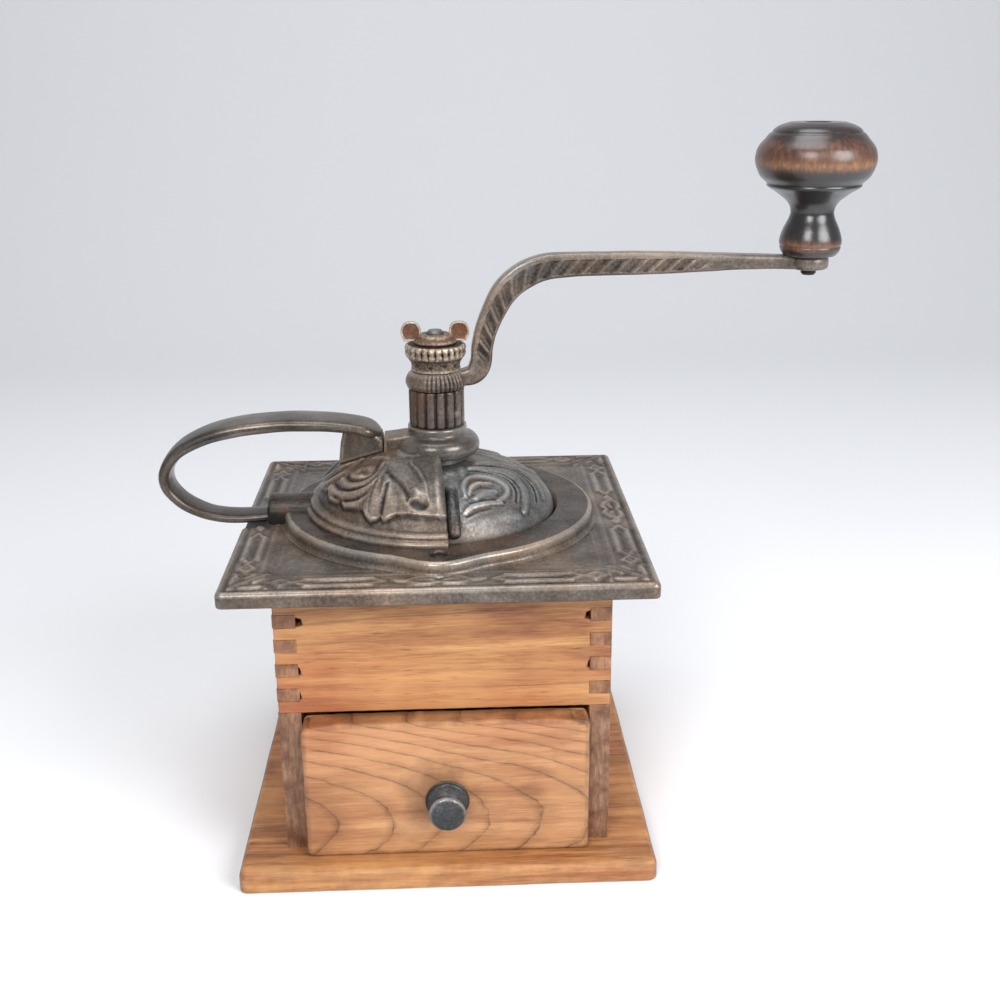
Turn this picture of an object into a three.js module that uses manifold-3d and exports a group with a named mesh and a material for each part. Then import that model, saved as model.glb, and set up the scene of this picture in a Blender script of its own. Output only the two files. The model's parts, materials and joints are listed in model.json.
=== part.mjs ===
// An antique box coffee grinder: a finger-jointed wooden box with a drawer, an iron top with a
// domed hopper whose right half swings open, a side handle, and a crank on a vertical shaft.
// Millimetres, +Z up. The origin is the middle of the base board's underside, and the drawer
// faces -Y. The ironwork is drawn about its own shaft, and then set on the box.

import * as THREE from 'three';
import { mergeVertices } from 'three/addons/utils/BufferGeometryUtils.js';
import Module from 'manifold-3d';

const wasm = await Module();
wasm.setup();

// Clearances: between pieces that seat or slide, and how far a cutting body passes a face.
const seatGap = 0.3;
const cutOverrun = 2;
const weldTolerance = 0.0001;

// Base board.
const baseWidth = 180;
const baseThickness = 9.5;
const baseCornerRadius = 4;
const baseEdgeRadius = 3;

// Box: two side boards, a short front board over the drawer, and a back board.
const boxWidth = 141;
const boxHeight = 122.4;
const boardThickness = 9;
const frontBoardHeight = 56.3;
const frontFingers = 10;
const backFingers = 22;

// Drawer.
const drawerSideGap = 0.35;
const drawerHeadGap = 1.8;
const drawerFrontThickness = 10.5;
const drawerFrontProud = 8.2;
const drawerFrontEdgeRadius = 1.6;
const drawerFrontCornerRadius = 3.4;
const drawerWallThickness = 6.4;
const drawerWallHeight = 54;
const drawerBottomThickness = 3.2;

// Drawer knob: a small iron knob, screwed on from inside the drawer.
const drawerKnobHeight = 26.2;
const drawerKnobRadius = 9;
const drawerKnobLength = 12.5;
const drawerKnobScrewRadius = 2;
const drawerKnobScrewGrip = 7;

// The ironwork stands a little to the left of the box's middle.
const ironShift = -1.2;

// Iron top plate: a square plate with a turned-down rim and a raised round ring with a point
// at the front and the back.
const plateWidth = 178;
const plateThickness = 6.8;
const plateCornerRadius = 3;
const plateEdgeRadius = 2.2;
const plateTroughDepth = 3.2;
const plateRimWidth = 4.5;
const plateSeatWidth = 2.5;
const ringRadius = 70;
const ringHeight = 5.8;
const ringEdgeRadius = 1.2;
const ringPointRise = 6;
const ringPointHalfAngle = 19;
const openingRadius = 54;
const handleNotchWidth = 26;
const handleNotchLength = 13;
const handleNotchDepth = 4;

// Fixed half of the hopper, with the crank bearing on top. The dome is half an ellipsoid that
// stands on the ring, and its edges face the front and the back.
const domeRadius = 56;
const domeRise = 28.6;
const domeWall = 2.5;
const domeFrontEdge = -86;
const domeBackEdge = 90;
const footRadius = 60.4;
const footHeight = 5;
const bossRadius = 18.8;
const bossHeight = 9.5;
const bossCollarRadius = 13.1;
const bossCollarHeight = 3.6;
const bearingTubeRadius = 8;

// Swinging half of the hopper. It hangs on the bearing tube and turns inside the fixed half.
const doorRadius = 52.5;
const doorRise = 24.8;
const doorWall = 2.4;
const doorSink = 2.7;
const doorTuck = 8;
const doorHubRadius = 12.5;
const doorHubRise = 2;
const doorHubHeight = 5.4;
const tabWidth = 4.8;
const tabProud = 4.6;
const tabGap = 0.7;
const tabLowAngle = 8;
const tabHighAngle = 50;
const retainerRadius = 12;
const retainerHeight = 3;

// Side handle: a flat iron strap bent into a loop, on a foot above and in a socket below.
const gripReach = 126.4;
const gripRise = 45.6;
const gripThickness = 5.6;
const gripTopWidth = 21;
const gripLowWidth = 14.5;
const gripEdgeRadius = 2;
const gripPlugLift = 0.5;
const gripFootOuter = 44.5;
const gripFootInner = 24;
const gripFootWidth = 15;
const padOuterHeight = 20.6;
const padInnerHeight = 26.6;
const socketLength = 23;
const socketWidth = 20;
const socketShoulder = 4.6;
const socketTop = 5.6;
const socketEnd = 77.6;

// Shaft, with a square for the crank and a square for the burr.
const shaftRadius = 5.2;
const shaftSquare = 7.2;
const threadRadius = 3.7;
const shaftEndProud = 5.6;
const journalRadius = 3.6;

// Fluted sleeve between the boss and the crank.
const sleeveRadius = 12.4;
const sleeveHeight = 16.4;
const sleeveFluteDepth = 0.9;
const sleeveFlutes = 16;

// Crank: an eye on the shaft, an arm that rises and turns level, and a small eye for the knob.
const crankReach = 164;
const crankRise = 49;
const crankThickness = 8;
const crankDepth = 9.8;
const crankEdgeRadius = 1.5;
const crankEyeRadius = 13.5;
const crankEyeHeight = 7.6;
const crankTipRadius = 8.4;
const crankTipHeight = 5.8;

// Crank knob, turned in wood, and the rivet that it spins on.
const knobRadius = 25.5;
const knobHeight = 55.6;
const rivetRadius = 3;
const rivetHeadRadius = 5.5;
const rivetHeadHeight = 1.6;
const rivetEndLength = 2.5;

// Adjusting collar and wing nut.
const collarFootRadius = 10.6;
const collarFootHeight = 5.9;
const collarBandRadius = 13.7;
const collarBandHeight = 5.8;
const collarBeadDepth = 1;
const collarBeads = 26;
const wingHubRadius = 9.5;
const wingHubHeight = 4;
const wingEarPlace = 10.4;
const wingEarWidth = 8.6;
const wingEarHeight = 8.2;
const wingEarThickness = 2.6;

// Bowl under the plate, with the grinding burrs in its neck and a bar across its mouth.
const bowlRadius = 50;
const bowlWall = 3;
const bowlDepth = 29;
const bowlFlangeRadius = 59.6;
const bowlThroatRadius = 19;
const neckLength = 22;
const burrRingRadius = 23;
const burrRingHeight = 20;
const burrRingMouthTop = 16.6;
const burrRingMouthBottom = 19;
const burrRingToothDepth = 1;
const burrConeTopRadius = 9;
const burrConeBottomRadius = 17;
const burrConeHeight = 18;
const burrConeToothDepth = 1.2;
const burrTeeth = 12;
const burrToothLean = 115;
const burrNutRadius = 7;
const burrNutHeight = 3;
const bridgeThickness = 3;
const bridgeWidth = 12;
const bridgeReach = 33;
const lugWidth = 8;
const lugHeight = 9;
const bridgeScrewPlace = 29.6;

// Screws.
const hopperScrewPlace = 57.2;
const hopperScrewRadius = 1.4;
const hopperScrewHeadRadius = 2.6;
const hopperScrewHeadHeight = 1.8;
const hopperScrewGrip = 2.2;
const plateScrewHeadRadius = 3.2;
const plateScrewRadius = 1.8;
const plateScrewLength = 24;
const plateScrewHeadHeight = 1.8;
const baseScrewRadius = 2;
const baseScrewHeadRadius = 4;
const baseScrewHeadHeight = 2;
const baseScrewLength = 28;
const baseScrewSpacing = 100;
const smallScrewRadius = 1.5;
const smallScrewHeadRadius = 3;
const smallScrewHeadHeight = 1.8;
const bridgeScrewLength = 9;
const handleScrewPlace = 34;
const handleScrewGrip = 8;
const slotWidth = 0.9;
const slotDepth = 0.8;

// How finely round shapes are divided.
const fineSegments = 40;
const roundSegments = 24;
const smallSegments = 10;
const edgeSteps = 2;
const degree = Math.PI / 180;

// Heights that stack up from the base.
const boxTop = baseThickness + boxHeight;
const frontBoardBottom = boxTop - frontBoardHeight;
const plateTop = boxTop + plateThickness;
const ringTop = plateTop + ringHeight;
const doorBase = ringTop - doorSink;
const doorHubTop = doorBase + doorRise + doorHubRise;
const doorHubBottom = doorHubTop - doorHubHeight;
const bossBottom = doorHubTop + seatGap;
const bossCollarBottom = bossBottom + bossHeight;
const bossTop = bossCollarBottom + bossCollarHeight;
const sleeveBottom = bossTop + seatGap;
const crankEyeBottom = sleeveBottom + sleeveHeight + seatGap;
const crankEyeTop = crankEyeBottom + crankEyeHeight;
const collarBottom = crankEyeTop + seatGap;
const collarTop = collarBottom + collarFootHeight + collarBandHeight;
const wingBottom = collarTop + seatGap;
const shaftTop = wingBottom + shaftEndProud;
const crankLevel = crankEyeBottom + crankEyeHeight / 2 + crankRise;
const crankTipBottom = crankLevel - crankTipHeight / 2;
const knobBottom = crankLevel + crankTipHeight / 2 + seatGap;
const retainerTop = doorHubBottom - seatGap;
const retainerBottom = retainerTop - retainerHeight;
const bowlFlangeBottom = boxTop - bowlWall;
const throatTop = boxTop - bowlDepth;
const neckTop = throatTop - bowlWall / 2;
const neckBottom = neckTop - neckLength;
const burrRingTop = neckTop - seatGap;
const burrConeTop = burrRingTop;
const burrConeBottom = burrConeTop - burrConeHeight;
const bridgeTop = neckBottom - seatGap;
const bridgeBottom = bridgeTop - bridgeThickness;
const shaftBottom = bridgeBottom - bridgeThickness / 2;
const boreRadius = shaftRadius + seatGap;
const threadBoreRadius = threadRadius + seatGap;
const boxHalf = boxWidth / 2;
const boxInnerHalf = boxHalf - boardThickness;

// Materials.
function finish(color, roughness, metalness) {
  return new THREE.MeshStandardMaterial({ color, roughness, metalness, flatShading: true });
}
const castIron = finish(0x4a4540, 0.55, 0.8);
const wornPlating = finish(0x9a9282, 0.5, 0.8);
const darkSteel = finish(0x5b5f66, 0.45, 0.9);
const oak = finish(0xb5803f, 0.6, 0);
const boxWood = finish(0xb87a41, 0.55, 0);
const drawerWood = finish(0xb07a4a, 0.55, 0);
const knobWood = finish(0x4a2c1c, 0.3, 0);

// A closed body from any three.js geometry: welded, without collapsed triangles, facing out.
function body(geometry) {
  const bare = new THREE.BufferGeometry();
  bare.setAttribute('position', geometry.getAttribute('position').clone());
  if (geometry.index) bare.setIndex(geometry.index.clone());
  const welded = mergeVertices(bare, weldTolerance);
  const places = welded.getAttribute('position');
  const corners = welded.index.array;
  const kept = [];
  let volume = 0;
  const [a, b, c] = [new THREE.Vector3(), new THREE.Vector3(), new THREE.Vector3()];
  for (let i = 0; i < corners.length; i += 3) {
    const [p, q, r] = [corners[i], corners[i + 1], corners[i + 2]];
    if (p === q || q === r || r === p) continue;
    a.fromBufferAttribute(places, p);
    b.fromBufferAttribute(places, q);
    c.fromBufferAttribute(places, r);
    volume += a.dot(b.cross(c));
    kept.push([p, q, r]);
  }
  const facing = volume < 0 ? kept.map(([p, q, r]) => [p, r, q]) : kept;
  return new wasm.Manifold(new wasm.Mesh({
    numProp: 3,
    vertProperties: new Float32Array(places.array),
    triVerts: new Uint32Array(facing.flat()),
  }));
}

function geometryOf(manifold) {
  const { vertProperties, triVerts } = manifold.getMesh();
  const geometry = new THREE.BufferGeometry();
  geometry.setAttribute('position', new THREE.BufferAttribute(vertProperties, 3));
  geometry.setIndex(new THREE.BufferAttribute(triVerts, 1));
  geometry.computeVertexNormals();
  return geometry;
}

function join(...geometries) {
  return geometryOf(geometries.map(body).reduce((whole, next) => whole.add(next)));
}

function cut(geometry, ...tools) {
  return geometryOf(tools.map(body).reduce((whole, next) => whole.subtract(next), body(geometry)));
}

function common(first, second) {
  return geometryOf(body(first).intersect(body(second)));
}

function piece(name, geometry, material) {
  const mesh = new THREE.Mesh(geometry, material);
  mesh.name = name;
  return mesh;
}

// Simple solids, given by their faces along X, Y and Z.
function block(xLow, xHigh, yLow, yHigh, zLow, zHigh) {
  const geometry = new THREE.BoxGeometry(xHigh - xLow, yHigh - yLow, zHigh - zLow);
  return geometry.translate((xLow + xHigh) / 2, (yLow + yHigh) / 2, (zLow + zHigh) / 2);
}

function rod(radius, bottom, top, segments = roundSegments) {
  const geometry = new THREE.CylinderGeometry(radius, radius, top - bottom, segments);
  return geometry.rotateX(Math.PI / 2).translate(0, 0, (bottom + top) / 2);
}

// A shape turned about Z from [radius, height] points.
function turned(points, segments = roundSegments) {
  const profile = points.map(([radius, height]) => new THREE.Vector2(radius, height));
  return new THREE.LatheGeometry(profile, segments).rotateX(Math.PI / 2);
}

// A profile from a table of shares of a radius and of a height.
function shared(shares, radius, bottom, height) {
  return shares.map(([across, up]) => [across * radius, bottom + up * height]);
}

// An outline raised along Z from 0 to its depth, with rounded edges on both faces.
function raised(shape, depth, edge = 0, steps = edgeSteps) {
  return new THREE.ExtrudeGeometry(shape, {
    depth: depth - 2 * edge,
    bevelEnabled: edge > 0,
    bevelThickness: edge,
    bevelSize: edge,
    bevelOffset: -edge,
    bevelSegments: steps,
    curveSegments: smallSegments,
  }).translate(0, 0, edge);
}

// An outline in the XZ plane, as thick as its width along Y and centred on y = 0.
function upright(shape, width, edge = 0, steps = edgeSteps) {
  return raised(shape, width, edge, steps).rotateX(Math.PI / 2).translate(0, width / 2, 0);
}

function roundedRectangle(width, height, radius) {
  const [x, y] = [width / 2, height / 2];
  const shape = new THREE.Shape();
  shape.moveTo(x - radius, -y);
  shape.absarc(x - radius, radius - y, radius, -90 * degree, 0, false);
  shape.absarc(x - radius, y - radius, radius, 0, 90 * degree, false);
  shape.absarc(radius - x, y - radius, radius, 90 * degree, 180 * degree, false);
  shape.absarc(radius - x, radius - y, radius, 180 * degree, 270 * degree, false);
  return new THREE.Shape(thinned(shape.getPoints(3)));
}

// Neighbouring points that coincide are dropped from an outline.
function thinned(points) {
  return points.filter((point, i) => {
    const previous = points[(i + points.length - 1) % points.length];
    return point.distanceTo(previous) > weldTolerance;
  });
}

// A slab whose top edge is rounded and whose underside is flat.
function slab(width, length, thickness, cornerRadius, edgeRadius) {
  const outline = roundedRectangle(width, length, cornerRadius);
  const whole = raised(outline, thickness + 2 * edgeRadius, edgeRadius, 3);
  whole.translate(0, 0, -2 * edgeRadius);
  const [x, y] = [width / 2 + cutOverrun, length / 2 + cutOverrun];
  return cut(whole, block(-x, x, -y, y, -2 * edgeRadius - cutOverrun, 0));
}

// A round outline whose radius falls by a depth between its lobes.
function lobedShape(radius, depth, lobes, perLobe) {
  const count = lobes * perLobe;
  const points = Array.from({ length: count }, (_, i) => {
    const wave = Math.abs(Math.sin((i / perLobe) * Math.PI));
    const reach = radius - depth * (1 - wave);
    const angle = (i / count) * 360 * degree;
    return new THREE.Vector2(reach * Math.cos(angle), reach * Math.sin(angle));
  });
  return new THREE.Shape(points);
}

function withHole(shape, radius, segments = roundSegments) {
  const ring = new THREE.Path();
  ring.absarc(0, 0, radius, 0, 360 * degree, true);
  shape.holes.push(new THREE.Path(thinned(ring.getPoints(segments))));
  return shape;
}

function outline(points) {
  return new THREE.Shape(points.map(([x, z]) => new THREE.Vector2(x, z)));
}

// A strip's outline from its middle line and its half depth at each share of the line's length.
function strip(curve, halfDepthAt, steps) {
  const [upper, lower] = [[], []];
  for (let i = 0; i <= steps; i += 1) {
    const along = i / steps;
    const middle = curve.getPointAt(along);
    const tangent = curve.getTangentAt(along);
    const normal = new THREE.Vector2(-tangent.y, tangent.x).multiplyScalar(halfDepthAt(along));
    upper.push(middle.clone().add(normal));
    lower.push(middle.clone().sub(normal));
  }
  return new THREE.Shape([...upper, ...lower.reverse()]);
}

// A value between the entries of an evenly spaced table of shares.
function between(shares, along) {
  const place = Math.min(along, 1) * (shares.length - 1);
  const low = Math.min(Math.floor(place), shares.length - 2);
  return shares[low] + (shares[low + 1] - shares[low]) * (place - low);
}

// A screw whose head hangs below z = 0 and whose shank points up.
function screw(name, headRadius, headHeight, shankRadius, shankLength, material = darkSteel) {
  const domeShares = [[0, 0], [0.7, 0], [1, 0.35], [1, 1]];
  const profile = shared(domeShares, headRadius, -headHeight, headHeight);
  const tipRadius = shankRadius / 2;
  profile.push([shankRadius, 0], [shankRadius, shankLength - shankRadius]);
  profile.push([tipRadius, shankLength], [0, shankLength]);
  const half = headRadius + cutOverrun;
  const slot = block(-half, half, -slotWidth / 2, slotWidth / 2,
    -headHeight - cutOverrun, slotDepth - headHeight);
  return piece(name, cut(turned(profile, smallSegments), slot), material);
}

function screwHole(radius, x, y, bottom, top) {
  return rod(radius + seatGap, bottom, top, smallSegments).translate(x, y, 0);
}

// Base and box.
function baseBoard() {
  const board = slab(baseWidth, baseWidth, baseThickness, baseCornerRadius, baseEdgeRadius);
  const holes = baseScrewPlaces().flatMap(([x, y]) => [
    screwHole(baseScrewRadius, x, y, -cutOverrun, baseThickness + cutOverrun),
    screwHole(baseScrewHeadRadius, x, y, -cutOverrun, baseScrewHeadHeight + 2 * seatGap),
  ]);
  return piece('base_board', cut(board, ...holes), oak);
}

function baseScrewPlaces() {
  const x = boxHalf - boardThickness / 2;
  const y = baseScrewSpacing / 2;
  return [[-x, -y], [x, -y], [-x, y], [x, y]];
}

// The gaps between the fingers of a board's ends: every second step of its height, from `first`.
function fingerGaps(first, count, bottom, step, xLow, xHigh, yLow, yHigh) {
  const gaps = [];
  for (let i = first; i < count; i += 2) {
    const low = i === 0 ? bottom - cutOverrun : bottom + i * step;
    const high = i === count - 1 ? bottom + count * step + cutOverrun : bottom + (i + 1) * step;
    gaps.push(block(xLow, xHigh, yLow, yHigh, low, high));
  }
  return gaps;
}

function crossBoard(name, ySide, bottom, fingers) {
  const step = (boxTop - bottom) / fingers;
  const [yLow, yHigh] = ySide < 0 ? [-boxHalf, -boxInnerHalf] : [boxInnerHalf, boxHalf];
  const outer = boxHalf + cutOverrun;
  const [yCutLow, yCutHigh] = [yLow - cutOverrun, yHigh + cutOverrun];
  const board = block(-boxHalf, boxHalf, yLow, yHigh, bottom, boxTop);
  const left = fingerGaps(1, fingers, bottom, step, -outer, -boxInnerHalf, yCutLow, yCutHigh);
  const right = fingerGaps(1, fingers, bottom, step, boxInnerHalf, outer, yCutLow, yCutHigh);
  const screwY = ySide * (boxHalf - boardThickness / 2);
  const hole = screwHole(plateScrewRadius, ironShift, screwY,
    plateScrewBottom() - seatGap, boxTop + cutOverrun);
  return piece(name, cut(board, ...left, ...right, hole), boxWood);
}

function sideBoard(name, side) {
  const [xLow, xHigh] = side < 0 ? [-boxHalf, -boxInnerHalf] : [boxInnerHalf, boxHalf];
  const [xCutLow, xCutHigh] = [xLow - cutOverrun, xHigh + cutOverrun];
  const outer = boxHalf + cutOverrun;
  const frontStep = frontBoardHeight / frontFingers;
  const backStep = boxHeight / backFingers;
  const board = block(xLow, xHigh, -boxHalf, boxHalf, baseThickness, boxTop);
  const front = sideGaps(frontFingers, frontBoardBottom, frontStep,
    xCutLow, xCutHigh, -outer, -boxInnerHalf);
  const back = sideGaps(backFingers, baseThickness, backStep,
    xCutLow, xCutHigh, boxInnerHalf, outer);
  const screws = baseScrewPlaces().filter(([x]) => x * side > 0).map(([x, y]) => screwHole(
    baseScrewRadius, x, y, baseThickness - cutOverrun, baseScrewTop() + seatGap));
  return piece(name, cut(board, ...front, ...back, ...screws), boxWood);
}

// A side board gives way where the cross boards have their fingers.
function sideGaps(count, bottom, step, xLow, xHigh, yLow, yHigh) {
  const gaps = [];
  for (let i = 0; i < count; i += 2) {
    gaps.push(block(xLow, xHigh, yLow, yHigh, bottom + i * step, bottom + (i + 1) * step));
  }
  return gaps;
}

function baseScrewTop() {
  return baseScrewHeadHeight + seatGap + baseScrewLength;
}

function plateScrewBottom() {
  return ringTop - plateScrewHeadHeight - plateScrewLength;
}

// Drawer.
const drawerWidth = 2 * (boxInnerHalf - drawerSideGap);
const drawerHalf = drawerWidth / 2;
const drawerFloor = baseThickness + seatGap;
const drawerFrontTop = frontBoardBottom - drawerHeadGap;
const drawerFace = -boxHalf - drawerFrontProud;
const drawerFrontBack = drawerFace + drawerFrontThickness;
const drawerEnd = boxInnerHalf - seatGap;
const drawerWallBottom = drawerFloor + drawerBottomThickness;
const drawerWallTop = drawerWallBottom + drawerWallHeight;
const drawerKnobPlace = drawerFloor + drawerKnobHeight;
const drawerWallInner = drawerHalf - drawerWallThickness;

function drawerFront() {
  const height = drawerFrontTop - drawerFloor;
  const board = slab(drawerWidth, height, drawerFrontThickness,
    drawerFrontCornerRadius, drawerFrontEdgeRadius);
  board.rotateX(Math.PI / 2);
  board.translate(0, drawerFrontBack, (drawerFloor + drawerFrontTop) / 2);
  const hole = screwHole(drawerKnobScrewRadius, 0, 0,
    -cutOverrun, drawerFrontThickness + cutOverrun);
  hole.rotateX(Math.PI / 2).translate(0, drawerFrontBack, drawerKnobPlace);
  return piece('drawer_front', cut(board, hole), drawerWood);
}

function drawerSide(name, side) {
  const [inner, outer] = [drawerWallInner, drawerHalf];
  const [xLow, xHigh] = side < 0 ? [-outer, -inner] : [inner, outer];
  const board = block(xLow, xHigh, drawerFrontBack, drawerEnd, drawerWallBottom, drawerWallTop);
  return piece(name, board, drawerWood);
}

function drawerBack() {
  const board = block(-drawerWallInner, drawerWallInner, drawerEnd - drawerWallThickness, drawerEnd,
    drawerWallBottom, drawerWallTop);
  return piece('drawer_back', board, drawerWood);
}

function drawerBottom() {
  const board = block(-drawerHalf, drawerHalf, drawerFrontBack, drawerEnd,
    drawerFloor, drawerWallBottom);
  return piece('drawer_bottom', board, drawerWood);
}

// The knob's profile, as shares of its radius and its length, from the drawer outwards.
const drawerKnobShares = [
  [0, 0], [1, 0], [1, 0.1], [0.72, 0.2], [0.48, 0.34], [0.46, 0.5], [0.66, 0.62],
  [0.86, 0.74], [0.84, 0.88], [0.6, 0.97], [0, 1],
];

function drawerKnob() {
  const profile = shared(drawerKnobShares, drawerKnobRadius, 0, drawerKnobLength);
  const knob = turned(profile, 2 * smallSegments);
  const hole = screwHole(drawerKnobScrewRadius, 0, 0, -cutOverrun, drawerKnobScrewGrip + seatGap);
  const mesh = piece('drawer_knob', cut(knob, hole), castIron);
  mesh.rotation.x = Math.PI / 2;
  mesh.position.set(0, drawerFace - seatGap, drawerKnobPlace);
  return mesh;
}

function drawerKnobScrew() {
  const length = drawerFrontThickness + seatGap + drawerKnobScrewGrip;
  const mesh = screw('drawer_knob_screw', 2 * drawerKnobScrewRadius, drawerKnobScrewRadius,
    drawerKnobScrewRadius, length);
  mesh.rotation.x = Math.PI / 2;
  mesh.position.set(0, drawerFrontBack + seatGap, drawerKnobPlace);
  return mesh;
}

// Top plate.
const azimuths = Array.from({ length: fineSegments * 2 }, (_, i) => (i / fineSegments - 1) * 180);

function ringReach(azimuth) {
  const away = Math.abs(Math.abs(azimuth) - 90) / ringPointHalfAngle;
  const swell = away < 1 ? 0.5 + 0.5 * Math.cos(away * Math.PI) : 0;
  return ringRadius + ringPointRise * swell;
}

function ringShape() {
  return new THREE.Shape(azimuths.map((azimuth) => {
    const reach = ringReach(azimuth);
    return new THREE.Vector2(reach * Math.cos(azimuth * degree), reach * Math.sin(azimuth * degree));
  }));
}

const hopperScrewAzimuths = { left: 180, front: -112, back: 112 };

function hopperScrewPoint(azimuth) {
  return [hopperScrewPlace * Math.cos(azimuth * degree), hopperScrewPlace * Math.sin(azimuth * degree)];
}

function plateScrewPlace() {
  return boxHalf - boardThickness / 2;
}

function topPlate() {
  const plate = slab(plateWidth, plateWidth, plateThickness, plateCornerRadius, plateEdgeRadius);
  plate.translate(0, 0, boxTop);
  const ring = raised(ringShape(), plateThickness / 2 + ringHeight, ringEdgeRadius, 1);
  ring.translate(0, 0, plateTop - plateThickness / 2);
  const low = boxTop - cutOverrun;
  const opening = rod(openingRadius, low, ringTop + cutOverrun, fineSegments);
  const notchInner = -plateWidth / 2 + handleNotchLength;
  const notch = block(-plateWidth / 2 - cutOverrun, notchInner, -handleNotchWidth / 2,
    handleNotchWidth / 2, plateTop - handleNotchDepth, plateTop + cutOverrun);
  const troughOuter = plateWidth / 2 - plateRimWidth;
  const troughInner = boxHalf + plateSeatWidth;
  const trough = cut(
    block(-troughOuter, troughOuter, -troughOuter, troughOuter, low, boxTop + plateTroughDepth),
    block(-troughInner, troughInner, -troughInner, troughInner, low - cutOverrun,
      boxTop + plateTroughDepth + cutOverrun));
  const underNotch = block(-plateWidth / 2, notchInner + plateRimWidth,
    -handleNotchWidth / 2 - plateRimWidth, handleNotchWidth / 2 + plateRimWidth,
    low - cutOverrun, boxTop + plateTroughDepth + cutOverrun);
  const holes = Object.values(hopperScrewAzimuths).map((azimuth) => {
    const [x, y] = hopperScrewPoint(azimuth);
    return screwHole(hopperScrewRadius, x, y, low, ringTop + cutOverrun);
  });
  for (const y of [-plateScrewPlace(), plateScrewPlace()]) {
    holes.push(screwHole(plateScrewRadius, 0, y, low, ringTop + cutOverrun));
    holes.push(screwHole(plateScrewHeadRadius, 0, y, ringTop - plateScrewHeadHeight - seatGap,
      ringTop + cutOverrun));
  }
  const whole = cut(join(plate, ring), opening, notch, cut(trough, underNotch), ...holes);
  return piece('top_plate', whole, castIron);
}

// Hopper. A half ellipse in [radius, height], from its rim to its top.
function ellipse(radius, rise, base, steps) {
  return Array.from({ length: steps + 1 }, (_, i) => {
    const angle = (i / steps) * 90 * degree;
    return [radius * Math.cos(angle), base + rise * Math.sin(angle)];
  });
}

// The space between two azimuths, from the axis outwards, counted anticlockwise.
function wedge(from, to, reach, bottom, top) {
  const corners = [new THREE.Vector2(0, 0)];
  const steps = 4;
  for (let i = 0; i <= steps; i += 1) {
    const angle = (from + (to - from) * (i / steps)) * degree;
    corners.push(new THREE.Vector2(reach * Math.cos(angle), reach * Math.sin(angle)));
  }
  return raised(new THREE.Shape(corners), top - bottom).translate(0, 0, bottom);
}

// The foot moulding and the boss, as shares of their radius and height.
const footShares = [[1, 0], [1, 0.42], [0.975, 0.62], [0.962, 0.8], [0.95, 1]];
const bossShares = [
  [0.68, 0], [0.9, 0.04], [0.98, 0.16], [1, 0.3], [0.985, 0.5], [0.92, 0.7], [0.83, 0.86], [0.766, 1],
];

function domeTopAt(radius) {
  return ringTop + domeRise * Math.sqrt(1 - (radius / domeRadius) ** 2);
}

// The top of the pad that carries the handle, at a distance from the shaft.
function handlePadTop(place) {
  const share = (gripFootOuter - place) / (gripFootOuter - gripFootInner);
  return ringTop + padOuterHeight + (padInnerHeight - padOuterHeight) * share;
}

function socketShape() {
  const half = socketWidth / 2;
  const shape = new THREE.Shape();
  shape.moveTo(-half, 0);
  shape.lineTo(half, 0);
  shape.absellipse(0, socketShoulder, half, ringHeight + socketTop - socketShoulder,
    0, 180 * degree, false);
  return new THREE.Shape(thinned(shape.getPoints(smallSegments)));
}

// The handle's lower end goes into this casting beside the dome, above the plate.
function handleSocket() {
  const socket = raised(socketShape(), socketLength).rotateX(Math.PI / 2).rotateZ(Math.PI / 2);
  socket.translate(-socketEnd, 0, plateTop);
  const overRing = block(-ringRadius - seatGap, 0, -socketWidth, socketWidth,
    plateTop - cutOverrun, ringTop);
  const underside = block(-socketEnd - cutOverrun, 0, -socketWidth, socketWidth,
    plateTop - cutOverrun, plateTop + seatGap / 2);
  return cut(socket, overRing, underside);
}

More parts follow.
